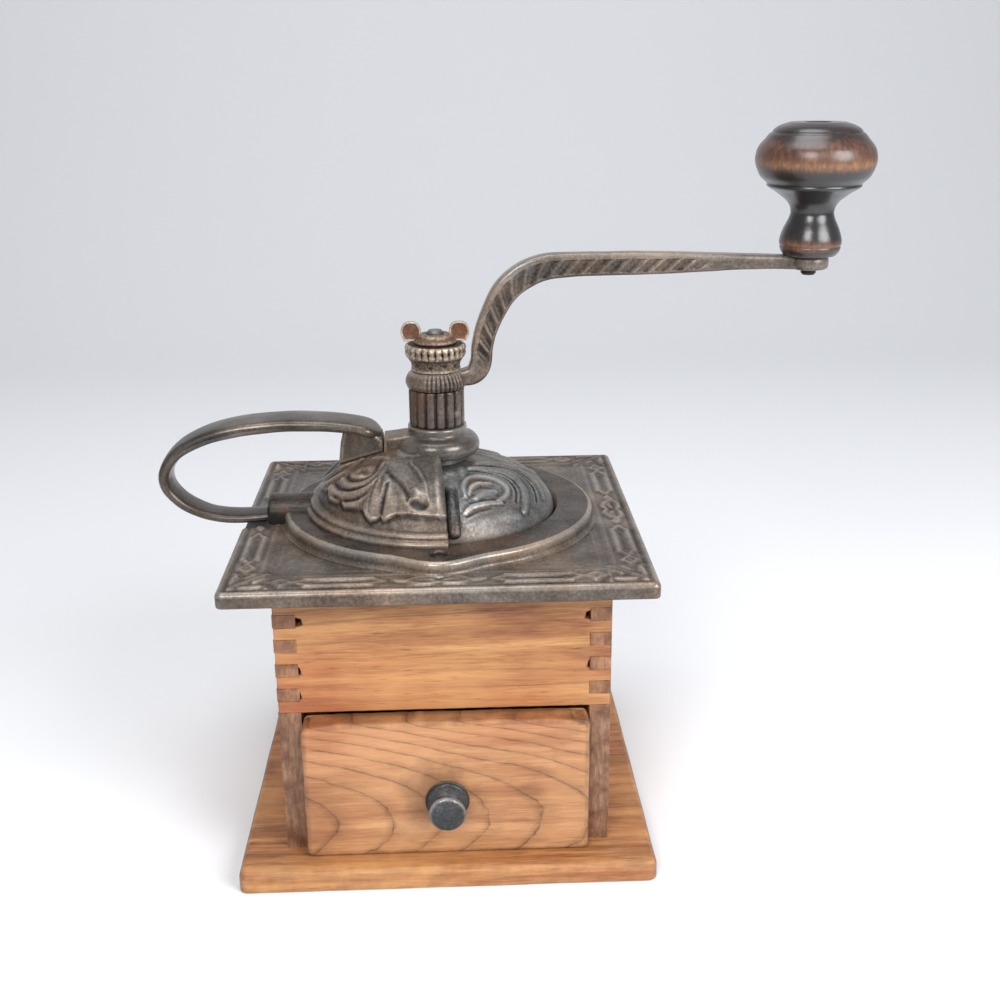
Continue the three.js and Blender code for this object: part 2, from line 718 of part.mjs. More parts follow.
function hopperDome() {
  const steps = 7;
  const innerRadius = domeRadius - domeWall;
  const outer = ellipse(domeRadius, domeRise, ringTop, steps);
  const inner = ellipse(innerRadius, domeRise - domeWall, ringTop, steps).reverse();
  const shell = turned([...outer, ...inner, outer[0]], fineSegments);
  const footProfile = shared(footShares, footRadius, ringTop, footHeight);
  const footTop = ringTop + footHeight;
  const foot = turned([[innerRadius, ringTop], ...footProfile, [innerRadius, footTop],
    [innerRadius, ringTop]], fineSegments);
  const away = wedge(domeFrontEdge, domeBackEdge, 2 * footRadius, ringTop - cutOverrun, bossTop);
  const half = cut(join(shell, foot), away);

  const padPoints = [
    [-gripFootOuter - seatGap, domeTopAt(gripFootOuter) - domeWall / 2],
    [-gripFootOuter - seatGap, handlePadTop(gripFootOuter)],
    [-gripFootInner, handlePadTop(gripFootInner)],
    [-gripFootInner, bossBottom + bossHeight * 0.9],
    [-bossCollarRadius, bossCollarBottom],
    [-bossCollarRadius, bossBottom + domeWall / 2],
    [-gripFootInner, domeTopAt(gripFootInner) - domeWall / 2],
  ];
  const pad = upright(outline(padPoints), gripFootWidth);
  const hollow = turned([[0, ringTop - cutOverrun], [innerRadius, ringTop - cutOverrun],
    ...ellipse(innerRadius, domeRise - domeWall, ringTop, steps)], fineSegments);

  const boss = turned([[0, bossBottom], ...shared(bossShares, bossRadius, bossBottom, bossHeight),
    [bossCollarRadius, bossCollarBottom], [bossCollarRadius, bossTop], [0, bossTop]], roundSegments);
  const tube = rod(bearingTubeRadius, retainerBottom, bossBottom + bossHeight / 2);
  const bore = rod(boreRadius, retainerBottom - cutOverrun, bossTop + cutOverrun);
  const screwX = -handleScrewPlace;
  const screwHead = screwHole(smallScrewHeadRadius, screwX, 0, ringTop, handleScrewSeat() + seatGap);
  const screwShank = screwHole(smallScrewRadius, screwX, 0, ringTop, bossTop);
  const holes = Object.values(hopperScrewAzimuths).map((azimuth) => {
    const [x, y] = hopperScrewPoint(azimuth);
    return screwHole(hopperScrewRadius, x, y, ringTop - cutOverrun, hopperScrewTop() + seatGap);
  });
  const iron = join(half, cut(join(pad, handleSocket()), hollow));
  const whole = join(cut(iron, screwHead, screwShank, gripPlugSpace()), boss, tube);
  return piece('hopper_dome', cut(whole, bore, ...holes), castIron);
}

function hopperScrewTop() {
  return ringTop + hopperScrewGrip;
}

function handleScrewSeat() {
  return handlePadTop(handleScrewPlace) - domeWall;
}

function hopperDoor() {
  const steps = 6;
  const outer = ellipse(doorRadius, doorRise, doorBase, steps);
  const inner = ellipse(doorRadius - doorWall, doorRise - doorWall, doorBase, steps).reverse();
  const shell = turned([...outer, ...inner, outer[0]], fineSegments);
  const kept = wedge(domeFrontEdge - doorTuck, domeBackEdge + doorTuck, 2 * doorRadius,
    doorBase - cutOverrun, doorHubTop);
  const hub = rod(doorHubRadius, doorHubBottom, doorHubTop);
  const bore = rod(bearingTubeRadius + seatGap, doorHubBottom - doorRise, doorHubTop + cutOverrun);
  return piece('hopper_door', cut(join(common(shell, kept), hub, doorTab()), bore), castIron);
}

// The thumb tab: a rib that stands up along the door's edge.
function doorTab() {
  const steps = 7;
  const arc = (proud) => Array.from({ length: steps + 1 }, (_, i) => {
    const angle = (tabLowAngle + (tabHighAngle - tabLowAngle) * (i / steps)) * degree;
    return new THREE.Vector2((doorRadius + proud) * Math.cos(angle),
      doorBase + (doorRise + proud) * Math.sin(angle));
  });
  const shape = new THREE.Shape([...arc(tabProud), ...arc(-doorWall / 2).reverse()]);
  const rib = upright(shape, tabWidth, tabWidth / 4, 1).translate(0, tabGap + tabWidth / 2, 0);
  return rib.rotateZ(domeFrontEdge * degree);
}

function doorRetainer() {
  const inner = bearingTubeRadius + seatGap;
  const ring = turned([[inner, retainerBottom], [retainerRadius, retainerBottom],
    [retainerRadius, retainerTop], [inner, retainerTop], [inner, retainerBottom]]);
  return piece('door_retaining_ring', ring, darkSteel);
}

// Side handle. Its middle line, as shares of its reach from the shaft and of its rise.
const gripLineShares = [
  [0.2, 0.84], [0.265, 0.93], [0.37, 0.98], [0.5, 1], [0.61, 0.985], [0.72, 0.945], [0.82, 0.865],
  [0.915, 0.72], [0.965, 0.52], [0.967, 0.34], [0.928, 0.18], [0.874, 0.07], [0.81, 0],
  [0.712, -0.03], [0.6, 0],
];
const gripThicknessShares = [0.95, 1, 1.05, 1.1, 1.15, 1.1, 1, 0.9, 0.85, 0.83, 0.82];
const gripEndShare = gripThicknessShares[gripThicknessShares.length - 1];
const gripFootShare = 0.94;

const gripLow = plateTop + gripPlugLift + (gripThickness * gripEndShare) / 2;

function gripPlugEnd() {
  return ringRadius + 2 * seatGap;
}

function gripShape() {
  const rise = gripRise - gripThickness / 2;
  const points = gripLineShares.map(([out, up]) => new THREE.Vector2(-out * gripReach, gripLow + up * rise));
  const last = points[points.length - 1];
  last.x = -gripPlugEnd();
  const curve = new THREE.SplineCurve(points);
  return strip(curve, (along) => (gripThickness / 2) * between(gripThicknessShares, along), 30);
}

// The strap narrows from its top run to its lower end.
function gripWidthAt(height) {
  const share = THREE.MathUtils.clamp((height - gripLow) / gripRise, 0, 1);
  return gripLowWidth + (gripTopWidth - gripLowWidth) * share;
}

function gripStrap() {
  const strap = upright(gripShape(), gripTopWidth, gripEdgeRadius, 3);
  const places = strap.getAttribute('position');
  for (let i = 0; i < places.count; i += 1) {
    places.setY(i, places.getY(i) * (gripWidthAt(places.getZ(i)) / gripTopWidth));
  }
  return strap;
}

function gripPlugSpace() {
  const half = gripLowWidth / 2 + seatGap;
  return block(-socketEnd - cutOverrun, -ringRadius, -half, half,
    plateTop - cutOverrun, gripLow + gripThickness / 2);
}

function gripHandle() {
  const topRun = gripLow + gripRise * gripFootShare;
  const foot = upright(outline([
    [-gripFootOuter, handlePadTop(gripFootOuter) + seatGap],
    [-gripFootInner - seatGap, handlePadTop(gripFootInner) + seatGap],
    [-gripFootInner - seatGap, topRun - gripThickness],
    [-gripFootInner - gripThickness, topRun - gripThickness / 4],
    [-gripFootOuter + gripThickness / 2, topRun - gripThickness / 4],
    [-gripFootOuter + gripThickness / 3, topRun - gripThickness * 1.6],
  ]), gripFootWidth);
  const hole = screwHole(smallScrewRadius, -handleScrewPlace, 0, ringTop,
    handleScrewSeat() + handleScrewGrip + seatGap);
  return piece('grip_handle', cut(join(gripStrap(), foot), hole), castIron);
}

// Shaft and crank.
function crankShaft() {
  const square = shaftSquare / 2;
  const journal = rod(journalRadius, shaftBottom, burrConeBottom + cutOverrun);
  const column = rod(shaftRadius, burrConeTop, crankEyeBottom);
  const burrSeat = block(-square, square, -square, square, burrConeBottom, burrConeTop + cutOverrun);
  const crankSeat = block(-square, square, -square, square, crankEyeBottom - cutOverrun, crankEyeTop);
  const thread = turned([[0, crankEyeTop - cutOverrun], [threadRadius, crankEyeTop - cutOverrun],
    [threadRadius, shaftTop - threadRadius / 4], [threadRadius * 0.8, shaftTop], [0, shaftTop]]);
  return piece('crank_shaft', join(journal, burrSeat, column, crankSeat, thread), darkSteel);
}

function flutedSleeve() {
  const outline = withHole(lobedShape(sleeveRadius, sleeveFluteDepth, sleeveFlutes, 4), boreRadius);
  const sleeve = raised(outline, sleeveHeight).translate(0, 0, sleeveBottom);
  return piece('fluted_sleeve', sleeve, castIron);
}

// The arm's middle line, as shares of the crank's reach and rise, and its depth along the way.
const crankLineShares = [
  [0.055, 0], [0.1, 0.03], [0.121, 0.13], [0.126, 0.28], [0.136, 0.43], [0.157, 0.6], [0.186, 0.77],
  [0.229, 0.9], [0.287, 0.985], [0.36, 1.01], [0.5, 1.015], [0.65, 1.015], [0.8, 1.015], [0.9, 1.01],
  [0.97, 1],
];
const crankDepthShares = [
  0.64, 0.95, 0.96, 1.02, 1.14, 1.18, 1.1, 1.03, 1, 1, 0.94, 0.86, 0.76, 0.66, 0.62, 0.6,
];
const crankEyeShares = [[0.86, 0], [0.97, 0.12], [1, 0.4], [1, 0.62], [0.96, 0.85], [0.86, 1]];

function crankArm() {
  const middle = crankEyeBottom + crankEyeHeight / 2;
  const points = crankLineShares.map(([out, up]) => (
    new THREE.Vector2(out * crankReach, middle + up * crankRise)));
  const curve = new THREE.SplineCurve(points);
  const shape = strip(curve, (along) => (crankDepth / 2) * between(crankDepthShares, along), 36);
  const arm = upright(shape, crankThickness, crankEdgeRadius, 1);
  const eye = turned([[0, crankEyeBottom],
    ...shared(crankEyeShares, crankEyeRadius, crankEyeBottom, crankEyeHeight), [0, crankEyeTop]]);
  const tipTop = crankTipBottom + crankTipHeight;
  const soft = crankTipHeight / 5;
  const tip = turned([[0, crankTipBottom], [crankTipRadius - soft, crankTipBottom],
    [crankTipRadius, crankTipBottom + soft], [crankTipRadius, tipTop - soft],
    [crankTipRadius - soft, tipTop], [0, tipTop]]).translate(crankReach, 0, 0);
  const square = shaftSquare / 2 + seatGap;
  const seat = block(-square, square, -square, square,
    crankEyeBottom - cutOverrun, crankEyeTop + cutOverrun);
  const rivetHole = screwHole(rivetRadius, crankReach, 0,
    crankTipBottom - crankDepth, tipTop + cutOverrun);
  const above = block(crankReach - 2 * crankTipRadius, crankReach + 2 * crankTipRadius,
    -crankTipRadius, crankTipRadius, tipTop, tipTop + crankDepth);
  const under = above.clone().translate(0, 0, -crankTipHeight - crankDepth);
  const level = cut(arm, above, under);
  return piece('crank_arm', cut(join(level, eye, tip), seat, rivetHole), castIron);
}

// The knob's profile, as shares of its radius and height.
const knobShares = [
  [0.44, 0], [0.5, 0.04], [0.522, 0.115], [0.47, 0.2], [0.385, 0.285], [0.365, 0.34], [0.425, 0.405],
  [0.61, 0.475], [0.78, 0.525], [0.805, 0.555], [0.92, 0.61], [1, 0.715], [0.965, 0.81],
  [0.85, 0.88], [0.765, 0.925], [0.65, 0.97], [0.47, 1],
];

function crankKnob() {
  const top = knobBottom + knobHeight;
  const profile = shared(knobShares, knobRadius, knobBottom, knobHeight);
  const wood = turned([[0, knobBottom], ...profile, [0, top]], 32);
  const bore = rod(rivetRadius + seatGap, knobBottom - cutOverrun, top + cutOverrun, smallSegments);
  const sink = rod(rivetHeadRadius + seatGap, top - rivetHeadHeight - 2 * seatGap,
    top + cutOverrun, smallSegments);
  const mesh = piece('crank_knob', cut(wood, bore, sink), knobWood);
  mesh.position.x = crankReach;
  return mesh;
}

function knobRivet() {
  const top = knobBottom + knobHeight - seatGap;
  const headBottom = top - rivetHeadHeight;
  const bottom = crankTipBottom - rivetEndLength;
  const endRadius = rivetRadius * 1.1;
  const profile = [[0, bottom], [endRadius * 0.8, bottom], [endRadius, bottom + rivetEndLength / 3],
    [endRadius, crankTipBottom - seatGap], [rivetRadius, crankTipBottom - seatGap],
    [rivetRadius, headBottom], [rivetHeadRadius, headBottom],
    [rivetHeadRadius, top - rivetHeadHeight / 2], [rivetRadius, top], [0, top]];
  const mesh = piece('knob_rivet', turned(profile, smallSegments), darkSteel);
  mesh.position.x = crankReach;
  return mesh;
}

const collarBandShares = [[0.88, 0], [0.98, 0.25], [0.98, 0.75], [0.88, 1]];
const collarFootShares = [[1, 0], [1, 0.35], [0.96, 0.55], [0.9, 0.7], [0.94, 0.9], [1.1, 1.02]];

function adjustingCollar() {
  const bandBottom = collarBottom + collarFootHeight;
  const footProfile = shared(collarFootShares, collarFootRadius, collarBottom, collarFootHeight);
  const bandProfile = shared(collarBandShares, collarBandRadius, bandBottom, collarBandHeight);
  const foot = turned([[0, collarBottom], ...footProfile, [0, bandBottom + collarBandHeight / 2]]);
  const plain = turned([[0, bandBottom], ...bandProfile, [0, collarTop]], 3 * collarBeads);
  const band = toothed(plain, collarFootRadius, collarBeadDepth, collarBeads, 0);
  const bore = rod(threadBoreRadius, collarBottom - cutOverrun, collarTop + cutOverrun);
  return piece('adjusting_collar', cut(join(foot, band), bore), wornPlating);
}

const wingHubShares = [[0.86, 0], [1, 0.2], [1, 0.45], [0.9, 0.7], [0.62, 1]];

function wingEar(side) {
  const half = wingEarWidth / 2;
  const round = wingEarHeight - half;
  const shape = new THREE.Shape();
  shape.moveTo(side * wingEarPlace - half * 0.8, 0);
  shape.lineTo(side * wingEarPlace + half * 0.8, 0);
  shape.absarc(side * wingEarPlace, round, half, 0, 180 * degree, false);
  const whole = new THREE.Shape(thinned(shape.getPoints(4)));
  const ear = upright(whole, wingEarThickness, wingEarThickness / 5, 1);
  return ear.translate(0, 0, wingBottom + wingHubHeight / 4);
}

function wingNut() {
  const hub = turned([[0, wingBottom],
    ...shared(wingHubShares, wingHubRadius, wingBottom, wingHubHeight), [0, wingBottom + wingHubHeight]]);
  const bore = rod(threadBoreRadius, wingBottom - cutOverrun, wingBottom + wingEarHeight);
  return piece('wing_nut', cut(join(hub, wingEar(-1), wingEar(1)), bore), wornPlating);
}

// Bowl and burrs.
function bowl() {
  const steps = 4;
  const wall = (radius, top) => Array.from({ length: steps + 1 }, (_, i) => {
    const angle = (i / steps) * 90 * degree;
    const spread = (bowlRadius - bowlThroatRadius) * Math.cos(angle);
    return [bowlThroatRadius + radius + spread, top - bowlDepth * Math.sin(angle)];
  });
  const inner = wall(0, boxTop);
  const outer = wall(bowlWall, bowlFlangeBottom);
  const shell = turned([...inner, ...outer.reverse(), [bowlFlangeRadius, bowlFlangeBottom],
    [bowlFlangeRadius, boxTop], inner[0]]);
  const neckInner = burrRingRadius + seatGap;
  const neckOuter = neckInner + bowlWall;
  const neck = turned([[bowlThroatRadius, throatTop], [bowlThroatRadius, neckTop], [neckInner, neckTop],
    [neckInner, neckBottom], [neckOuter, neckBottom], [neckOuter, throatTop + bowlWall / 2],
    [bowlThroatRadius + bowlWall, throatTop], [bowlThroatRadius, throatTop]]);
  const lugs = [-1, 1].map((side) => {
    const [near, far] = [neckOuter - bowlWall / 2, bridgeReach];
    const [xLow, xHigh] = side < 0 ? [-far, -near] : [near, far];
    return block(xLow, xHigh, -lugWidth / 2, lugWidth / 2, neckBottom, neckBottom + lugHeight);
  });
  const burrSpace = rod(neckInner, neckBottom - cutOverrun, neckTop);
  const holes = Object.values(hopperScrewAzimuths).map((azimuth) => {
    const [x, y] = hopperScrewPoint(azimuth);
    return screwHole(hopperScrewRadius, x, y, bowlFlangeBottom - cutOverrun, boxTop + cutOverrun);
  });
  for (const side of [-1, 1]) {
    holes.push(screwHole(smallScrewRadius, side * bridgeScrewPlace, 0, neckBottom - cutOverrun,
      bridgeBottom - seatGap + bridgeScrewLength + seatGap));
  }
  return piece('hopper_bowl', cut(join(shell, neck, ...lugs), burrSpace, ...holes), castIron);
}

// A turned body whose radius waves around it, and whose waves lean with height.
function toothed(geometry, innerRadius, depth, teeth, lean) {
  const places = geometry.getAttribute('position');
  for (let i = 0; i < places.count; i += 1) {
    const [x, y, z] = [places.getX(i), places.getY(i), places.getZ(i)];
    const reach = Math.hypot(x, y);
    if (reach < innerRadius) continue;
    const wave = Math.cos(Math.atan2(y, x) * teeth + lean * z);
    const scale = 1 + (depth / 2) * (wave / reach);
    places.setX(i, x * scale);
    places.setY(i, y * scale);
  }
  return geometry;
}

function burrRing() {
  const bottom = burrRingTop - burrRingHeight;
  const outer = rod(burrRingRadius, bottom, burrRingTop, fineSegments);
  const mouth = toothed(turned([[0, bottom - cutOverrun], [burrRingMouthBottom, bottom - cutOverrun],
    [burrRingMouthBottom, bottom], [burrRingMouthTop, burrRingTop],
    [burrRingMouthTop, burrRingTop + cutOverrun], [0, burrRingTop + cutOverrun]], fineSegments),
  burrConeTopRadius, burrRingToothDepth, burrTeeth, 0);
  return piece('burr_ring', cut(outer, mouth), darkSteel);
}

function burrCone() {
  const square = shaftSquare / 2 + seatGap;
  const levels = 5;
  const side = Array.from({ length: levels + 1 }, (_, i) => {
    const share = i / levels;
    return [burrConeBottomRadius + (burrConeTopRadius - burrConeBottomRadius) * share,
      burrConeBottom + burrConeHeight * share];
  });
  const cone = toothed(turned([[0, burrConeBottom], ...side, [0, burrConeTop]], fineSegments),
    burrConeTopRadius / 2, burrConeToothDepth, burrTeeth, (burrToothLean * degree) / burrConeHeight);
  const seat = block(-square, square, -square, square,
    burrConeBottom - cutOverrun, burrConeTop + cutOverrun);
  return piece('burr_cone', cut(cone, seat), darkSteel);
}

function burrNut() {
  const top = burrConeBottom - seatGap;
  const nut = rod(burrNutRadius, top - burrNutHeight, top, 6);
  const bore = rod(journalRadius + seatGap, top - burrNutHeight - cutOverrun,
    top + cutOverrun, smallSegments);
  return piece('burr_nut', cut(nut, bore), darkSteel);
}

function bridgeBar() {
  const bar = raised(roundedRectangle(2 * bridgeReach, bridgeWidth, bridgeWidth / 4), bridgeThickness);
  bar.translate(0, 0, bridgeBottom);
  const bearing = rod(journalRadius + seatGap, bridgeBottom - cutOverrun,
    bridgeTop + cutOverrun, smallSegments);
  const holes = [-1, 1].map((side) => screwHole(smallScrewRadius, side * bridgeScrewPlace, 0,
    bridgeBottom - cutOverrun, bridgeTop + cutOverrun));
  return piece('bridge_bar', cut(bar, bearing, ...holes), castIron);
}

// Screws, each pointing from its head to its tip.
function hopperScrew(name, azimuth) {
  const length = hopperScrewTop() - bowlFlangeBottom;
  const mesh = screw(name, hopperScrewHeadRadius, hopperScrewHeadHeight, hopperScrewRadius, length);
  const [x, y] = hopperScrewPoint(azimuth);
  mesh.position.set(x, y, bowlFlangeBottom - seatGap);
  return mesh;
}

function plateScrew(name, side) {
  const mesh = screw(name, plateScrewHeadRadius, plateScrewHeadHeight,
    plateScrewRadius, plateScrewLength);
  mesh.rotation.x = Math.PI;
  mesh.position.set(0, side * plateScrewPlace(), ringTop - plateScrewHeadHeight);
  return mesh;
}

function baseScrew(name, [x, y]) {
  const mesh = screw(name, baseScrewHeadRadius, baseScrewHeadHeight, baseScrewRadius, baseScrewLength);
  mesh.position.set(x, y, baseScrewHeadHeight + seatGap);
  return mesh;
}

function bridgeScrew(name, side) {
  const mesh = screw(name, smallScrewHeadRadius, smallScrewHeadHeight,
    smallScrewRadius, bridgeScrewLength);
  mesh.position.set(side * bridgeScrewPlace, 0, bridgeBottom - seatGap);
  return mesh;
}

function handleScrew() {
  const mesh = screw('handle_screw', smallScrewHeadRadius, smallScrewHeadHeight,
    smallScrewRadius, handleScrewGrip);
  mesh.position.set(-handleScrewPlace, 0, handleScrewSeat());
  return mesh;
}

// The whole grinder, in groups that move together.
function group(...members) {
  const whole = new THREE.Group();
  whole.add(...members);
  return whole;
}

const corners = ['front_left', 'front_right', 'back_left', 'back_right'];
const box = group(
  baseBoard(),
  sideBoard('side_board_left', -1),
  sideBoard('side_board_right', 1),
  crossBoard('front_board', -1, frontBoardBottom, frontFingers),
  crossBoard('back_board', 1, baseThickness, backFingers),
  ...baseScrewPlaces().map((place, i) => baseScrew(`base_screw_${corners[i]}`, place)),
);
const drawer = group(
  drawerFront(),
  drawerSide('drawer_side_left', -1),
  drawerSide('drawer_side_right', 1),
  drawerBack(),
  drawerBottom(),
  drawerKnob(),
  drawerKnobScrew(),
);
const top = group(
  topPlate(),
  plateScrew('plate_screw_front', -1),
  plateScrew('plate_screw_back', 1),
  hopperDome(),
  gripHandle(),
  handleScrew(),
  doorRetainer(),
  bowl(),
  ...Object.entries(hopperScrewAzimuths).map(
    ([side, azimuth]) => hopperScrew(`hopper_screw_${side}`, azimuth)),
  burrRing(),
  bridgeBar(),
  bridgeScrew('bridge_screw_left', -1),
  bridgeScrew('bridge_screw_right', 1),
);
const crank = group(
  crankShaft(),
  flutedSleeve(),
  crankArm(),
  knobRivet(),
  crankKnob(),
  adjustingCollar(),
  wingNut(),
  burrCone(),
  burrNut(),
);

const ironwork = group(top, crank, hopperDoor());
ironwork.position.x = ironShift;

const grinder = group(box, drawer, ironwork);
export default grinder;
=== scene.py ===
# %% [markdown]
# # An antique box coffee grinder
# A wooden box with a drawer carries a cast-iron top. Beans go in under a domed hopper whose
# right half swings open, a crank turns the burrs below, and the drawer catches the coffee.
# The solid model is loaded first as a fixed frame. Every piece made here is laid over one of its
# solids, in the same place, and rides on the same moving body.

# %% Load the frame
import json
import math

import bmesh
import bpy
import numpy as np
from mathutils import Matrix, Vector


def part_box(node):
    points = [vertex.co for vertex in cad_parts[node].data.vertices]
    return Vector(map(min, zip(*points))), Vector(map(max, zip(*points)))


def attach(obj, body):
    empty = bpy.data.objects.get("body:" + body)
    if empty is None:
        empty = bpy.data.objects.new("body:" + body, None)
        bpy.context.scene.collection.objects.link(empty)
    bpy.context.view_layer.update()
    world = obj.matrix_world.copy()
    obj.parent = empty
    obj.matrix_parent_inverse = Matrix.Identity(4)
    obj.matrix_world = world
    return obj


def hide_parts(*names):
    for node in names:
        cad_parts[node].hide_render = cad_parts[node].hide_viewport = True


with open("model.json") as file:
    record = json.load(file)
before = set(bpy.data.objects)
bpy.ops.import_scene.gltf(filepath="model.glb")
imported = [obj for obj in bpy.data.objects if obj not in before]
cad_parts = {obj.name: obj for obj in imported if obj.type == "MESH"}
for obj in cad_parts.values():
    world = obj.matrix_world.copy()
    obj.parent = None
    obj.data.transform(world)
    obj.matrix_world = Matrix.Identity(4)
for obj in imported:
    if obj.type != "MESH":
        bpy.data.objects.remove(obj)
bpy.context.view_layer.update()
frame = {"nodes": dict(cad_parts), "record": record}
cad_nodes = frame["nodes"]

# %% [markdown]
# ## Sizes
# All sizes here are millimetres and match the solids. The ironwork stands on its own shaft, a
# little to the left of the box's middle, so its pieces are worked out about the shaft and then
# shifted. Heights are the levels at which one piece rests on the next.

# %% Sizes and levels
MM = 0.001
TURN = 2 * math.pi
SHAFT_X = -1.2

BASE_HALF, BASE_TOP, BASE_CORNER, BASE_ROUND = 90.0, 9.5, 4.0, 3.0
BOX_HALF, BOX_INNER, BOX_TOP, BOARD_ROUND = 70.5, 61.5, 131.9, 0.32
FRONT_BOTTOM, FRONT_FINGERS, BACK_FINGERS = 75.6, 10, 22
DRAWER_HALF, DRAWER_LOW, DRAWER_TOP, DRAWER_CORNER = 61.15, 9.8, 73.8, 3.0
DRAWER_FACE, DRAWER_BACK, DRAWER_ROUND, KNOB_HEIGHT = -78.7, -68.2, 1.5, 36.0
PLATE_HALF, PLATE_TOP, PLATE_LOW, PLATE_ROUND = 89.0, 138.7, 131.9, 2.2
RING_TOP, RING_REACH, OPENING = 144.5, 70.0, 54.0
DOME, DOME_RISE, DOME_WALL = 56.0, 28.6, 2.5
DOOR, DOOR_RISE, DOOR_BASE, DOOR_WALL = 52.5, 24.8, 141.8, 2.4
HUB_LOW, HUB_TOP, HUB_BORE = 163.2, 168.6, 8.3
BOSS_LOW, BOSS_TOP, BOSS_BORE, TUBE_LOW, TUBE_RADIUS = 168.9, 182.0, 5.5, 159.9, 8.0
SLEEVE_LOW, SLEEVE_RADIUS, SHAFT_BORE = 182.3, 12.4, 4.0
EYE_LOW, EYE_TOP, EYE_BORE = 199.0, 206.6, 4.3
COLLAR_LOW, BAND_LOW, COLLAR_TOP = 206.9, 212.8, 218.6
NUT_LOW, NUT_TOP = 218.9, 222.9
CRANK_REACH, CRANK_RISE = 164.0, 49.0
TIP_LOW, TIP_TOP, PIN_BORE = 248.95, 254.7, 3.3
KNOB_LOW, KNOB_RADIUS, KNOB_LENGTH = 255.0, 25.5, 55.6
plate_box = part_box("top_plate")
print("plate solid, mm:", [round(v / MM, 1) for corner in plate_box for v in corner])

# %% [markdown]
# ## Skins worked out on grids
# Every new piece is a grid of points: one direction goes along the piece, the other goes once
# round it and meets itself. Whole arrays are computed at once, which is quick and keeps the shape
# in one readable formula. A skin is closed at both ends by a flat face, or by a pole where its
# end row shrinks to one point, or it meets itself there too, as a ring does.

# %% Curves and small formulas
def eased(value):
    """0 below 0, 1 above 1, and a smooth S between: 3 v^2 - 2 v^3."""
    value = np.clip(value, 0, 1)
    return value * value * (3 - 2 * value)


def hump(value, place, width):
    """A bell, 1 at its place: exp(-((value - place) / width)^2)."""
    return np.exp(-((value - place) / width) ** 2)


def quarter(count, start=0.0):
    """Angles over a quarter turn, or over the share of it past the start."""
    return np.linspace(start, 1, count) * math.pi / 2


def curve(knots, per_span=10):
    """A smooth line through given knots: a Catmull-Rom cubic between each two of them."""
    knots = np.asarray(knots, float)
    wide = np.vstack([knots[:1], knots, knots[-1:]])
    t = np.linspace(0, 1, per_span, endpoint=False)[:, None]
    spans = [0.5 * (2 * b + (c - a) * t + (2 * a - 5 * b + 4 * c - d) * t ** 2
                    + (3 * b - a - 3 * c + d) * t ** 3)
             for a, b, c, d in zip(wide, wide[1:], wide[2:], wide[3:])]
    return np.vstack(spans + [knots[-1:]])


def evenly(line, count):
    """The same line with its points at equal steps of its length."""
    steps = np.linalg.norm(np.diff(line, axis=0), axis=1)
    length = np.concatenate([[0], np.cumsum(steps)])
    places = np.linspace(0, length[-1], count)
    return np.stack([np.interp(places, length, axis) for axis in line.T], -1)


def uneven(points, span, seed):
    """A smooth value between about -1 and 1: the mean of sines whose waves run in random ways."""
    chance = np.random.default_rng(seed)
    ways = chance.normal(size=(7, 3))
    ways /= np.linalg.norm(ways, axis=1, keepdims=True) * span * chance.uniform(0.6, 1.5, (7, 1))
    return 1.5 * np.mean(np.sin(TURN * (points @ ways.T + chance.uniform(0, 1, 7))), axis=-1)


def cast(points, amount, span, seed):
    """The same points, none quite true, as a sand mould leaves them."""
    return points + amount * uneven(points, span, seed)[..., None]


def rubbed(height, reach=5):
    """How far each point stands above the mean of the four points a few cells away from it."""
    wide = np.pad(height, reach, mode="edge")
    rows, columns = height.shape
    near = sum(wide[reach + a:reach + a + rows, reach + b:reach + b + columns]
               for a, b in ((reach, 0), (-reach, 0), (0, reach), (0, -reach)))
    return height - near / 4


print("eased at 0.25, 0.5 and 0.75:", [float(eased(v)) for v in (0.25, 0.5, 0.75)])

# %% Skins and pieces
WELD = 2e-6


def skin(points, ring=False, worn=0.0):
    """Quads over a grid (rows, columns, 3) whose columns meet round; faces are turned outwards by
    the sign of the volume, the sum of a . (b x c) / 6 over the triangles."""
    rows, columns = points.shape[:2]
    flat = points.reshape(-1, 3)
    i, j = np.meshgrid(np.arange(rows if ring else rows - 1), np.arange(columns), indexing="ij")
    up, on = (i + 1) % rows, (j + 1) % columns
    quads = np.stack([i * columns + j, i * columns + on, up * columns + on, up * columns + j], -1)
    quads = quads.reshape(-1, 4)
    first = np.arange(columns)
    caps = [] if ring else [first[::-1], first + (rows - 1) * columns]
    fans = [np.stack([np.full(columns - 2, cap[0]), cap[1:-1], cap[2:]], -1) for cap in caps]
    corners = np.concatenate([quads[:, [0, 1, 2]], quads[:, [0, 2, 3]], *fans])
    a, b, c = (flat[corners[:, k]] for k in range(3))
    if np.einsum("ij,ij->", a, np.cross(b, c)) < 0:
        quads, caps = quads[:, ::-1], [cap[::-1] for cap in caps]
    worn = np.broadcast_to(worn, (rows, columns)).reshape(-1)
    return {"points": flat, "quads": quads, "caps": caps, "worn": worn}


def link(name, data):
    """A new object for a mesh, a lamp or a camera, put into the scene."""
    thing = bpy.data.objects.new(name, data)
    bpy.context.scene.collection.objects.link(thing)
    return thing


def smooth_mesh(name, points, faces, finish):
    mesh = bpy.data.meshes.new(name)
    mesh.from_pydata(points, [], faces)
    mesh.polygons.foreach_set("use_smooth", np.ones(len(mesh.polygons), bool))
    mesh.materials.append(finish)
    return mesh


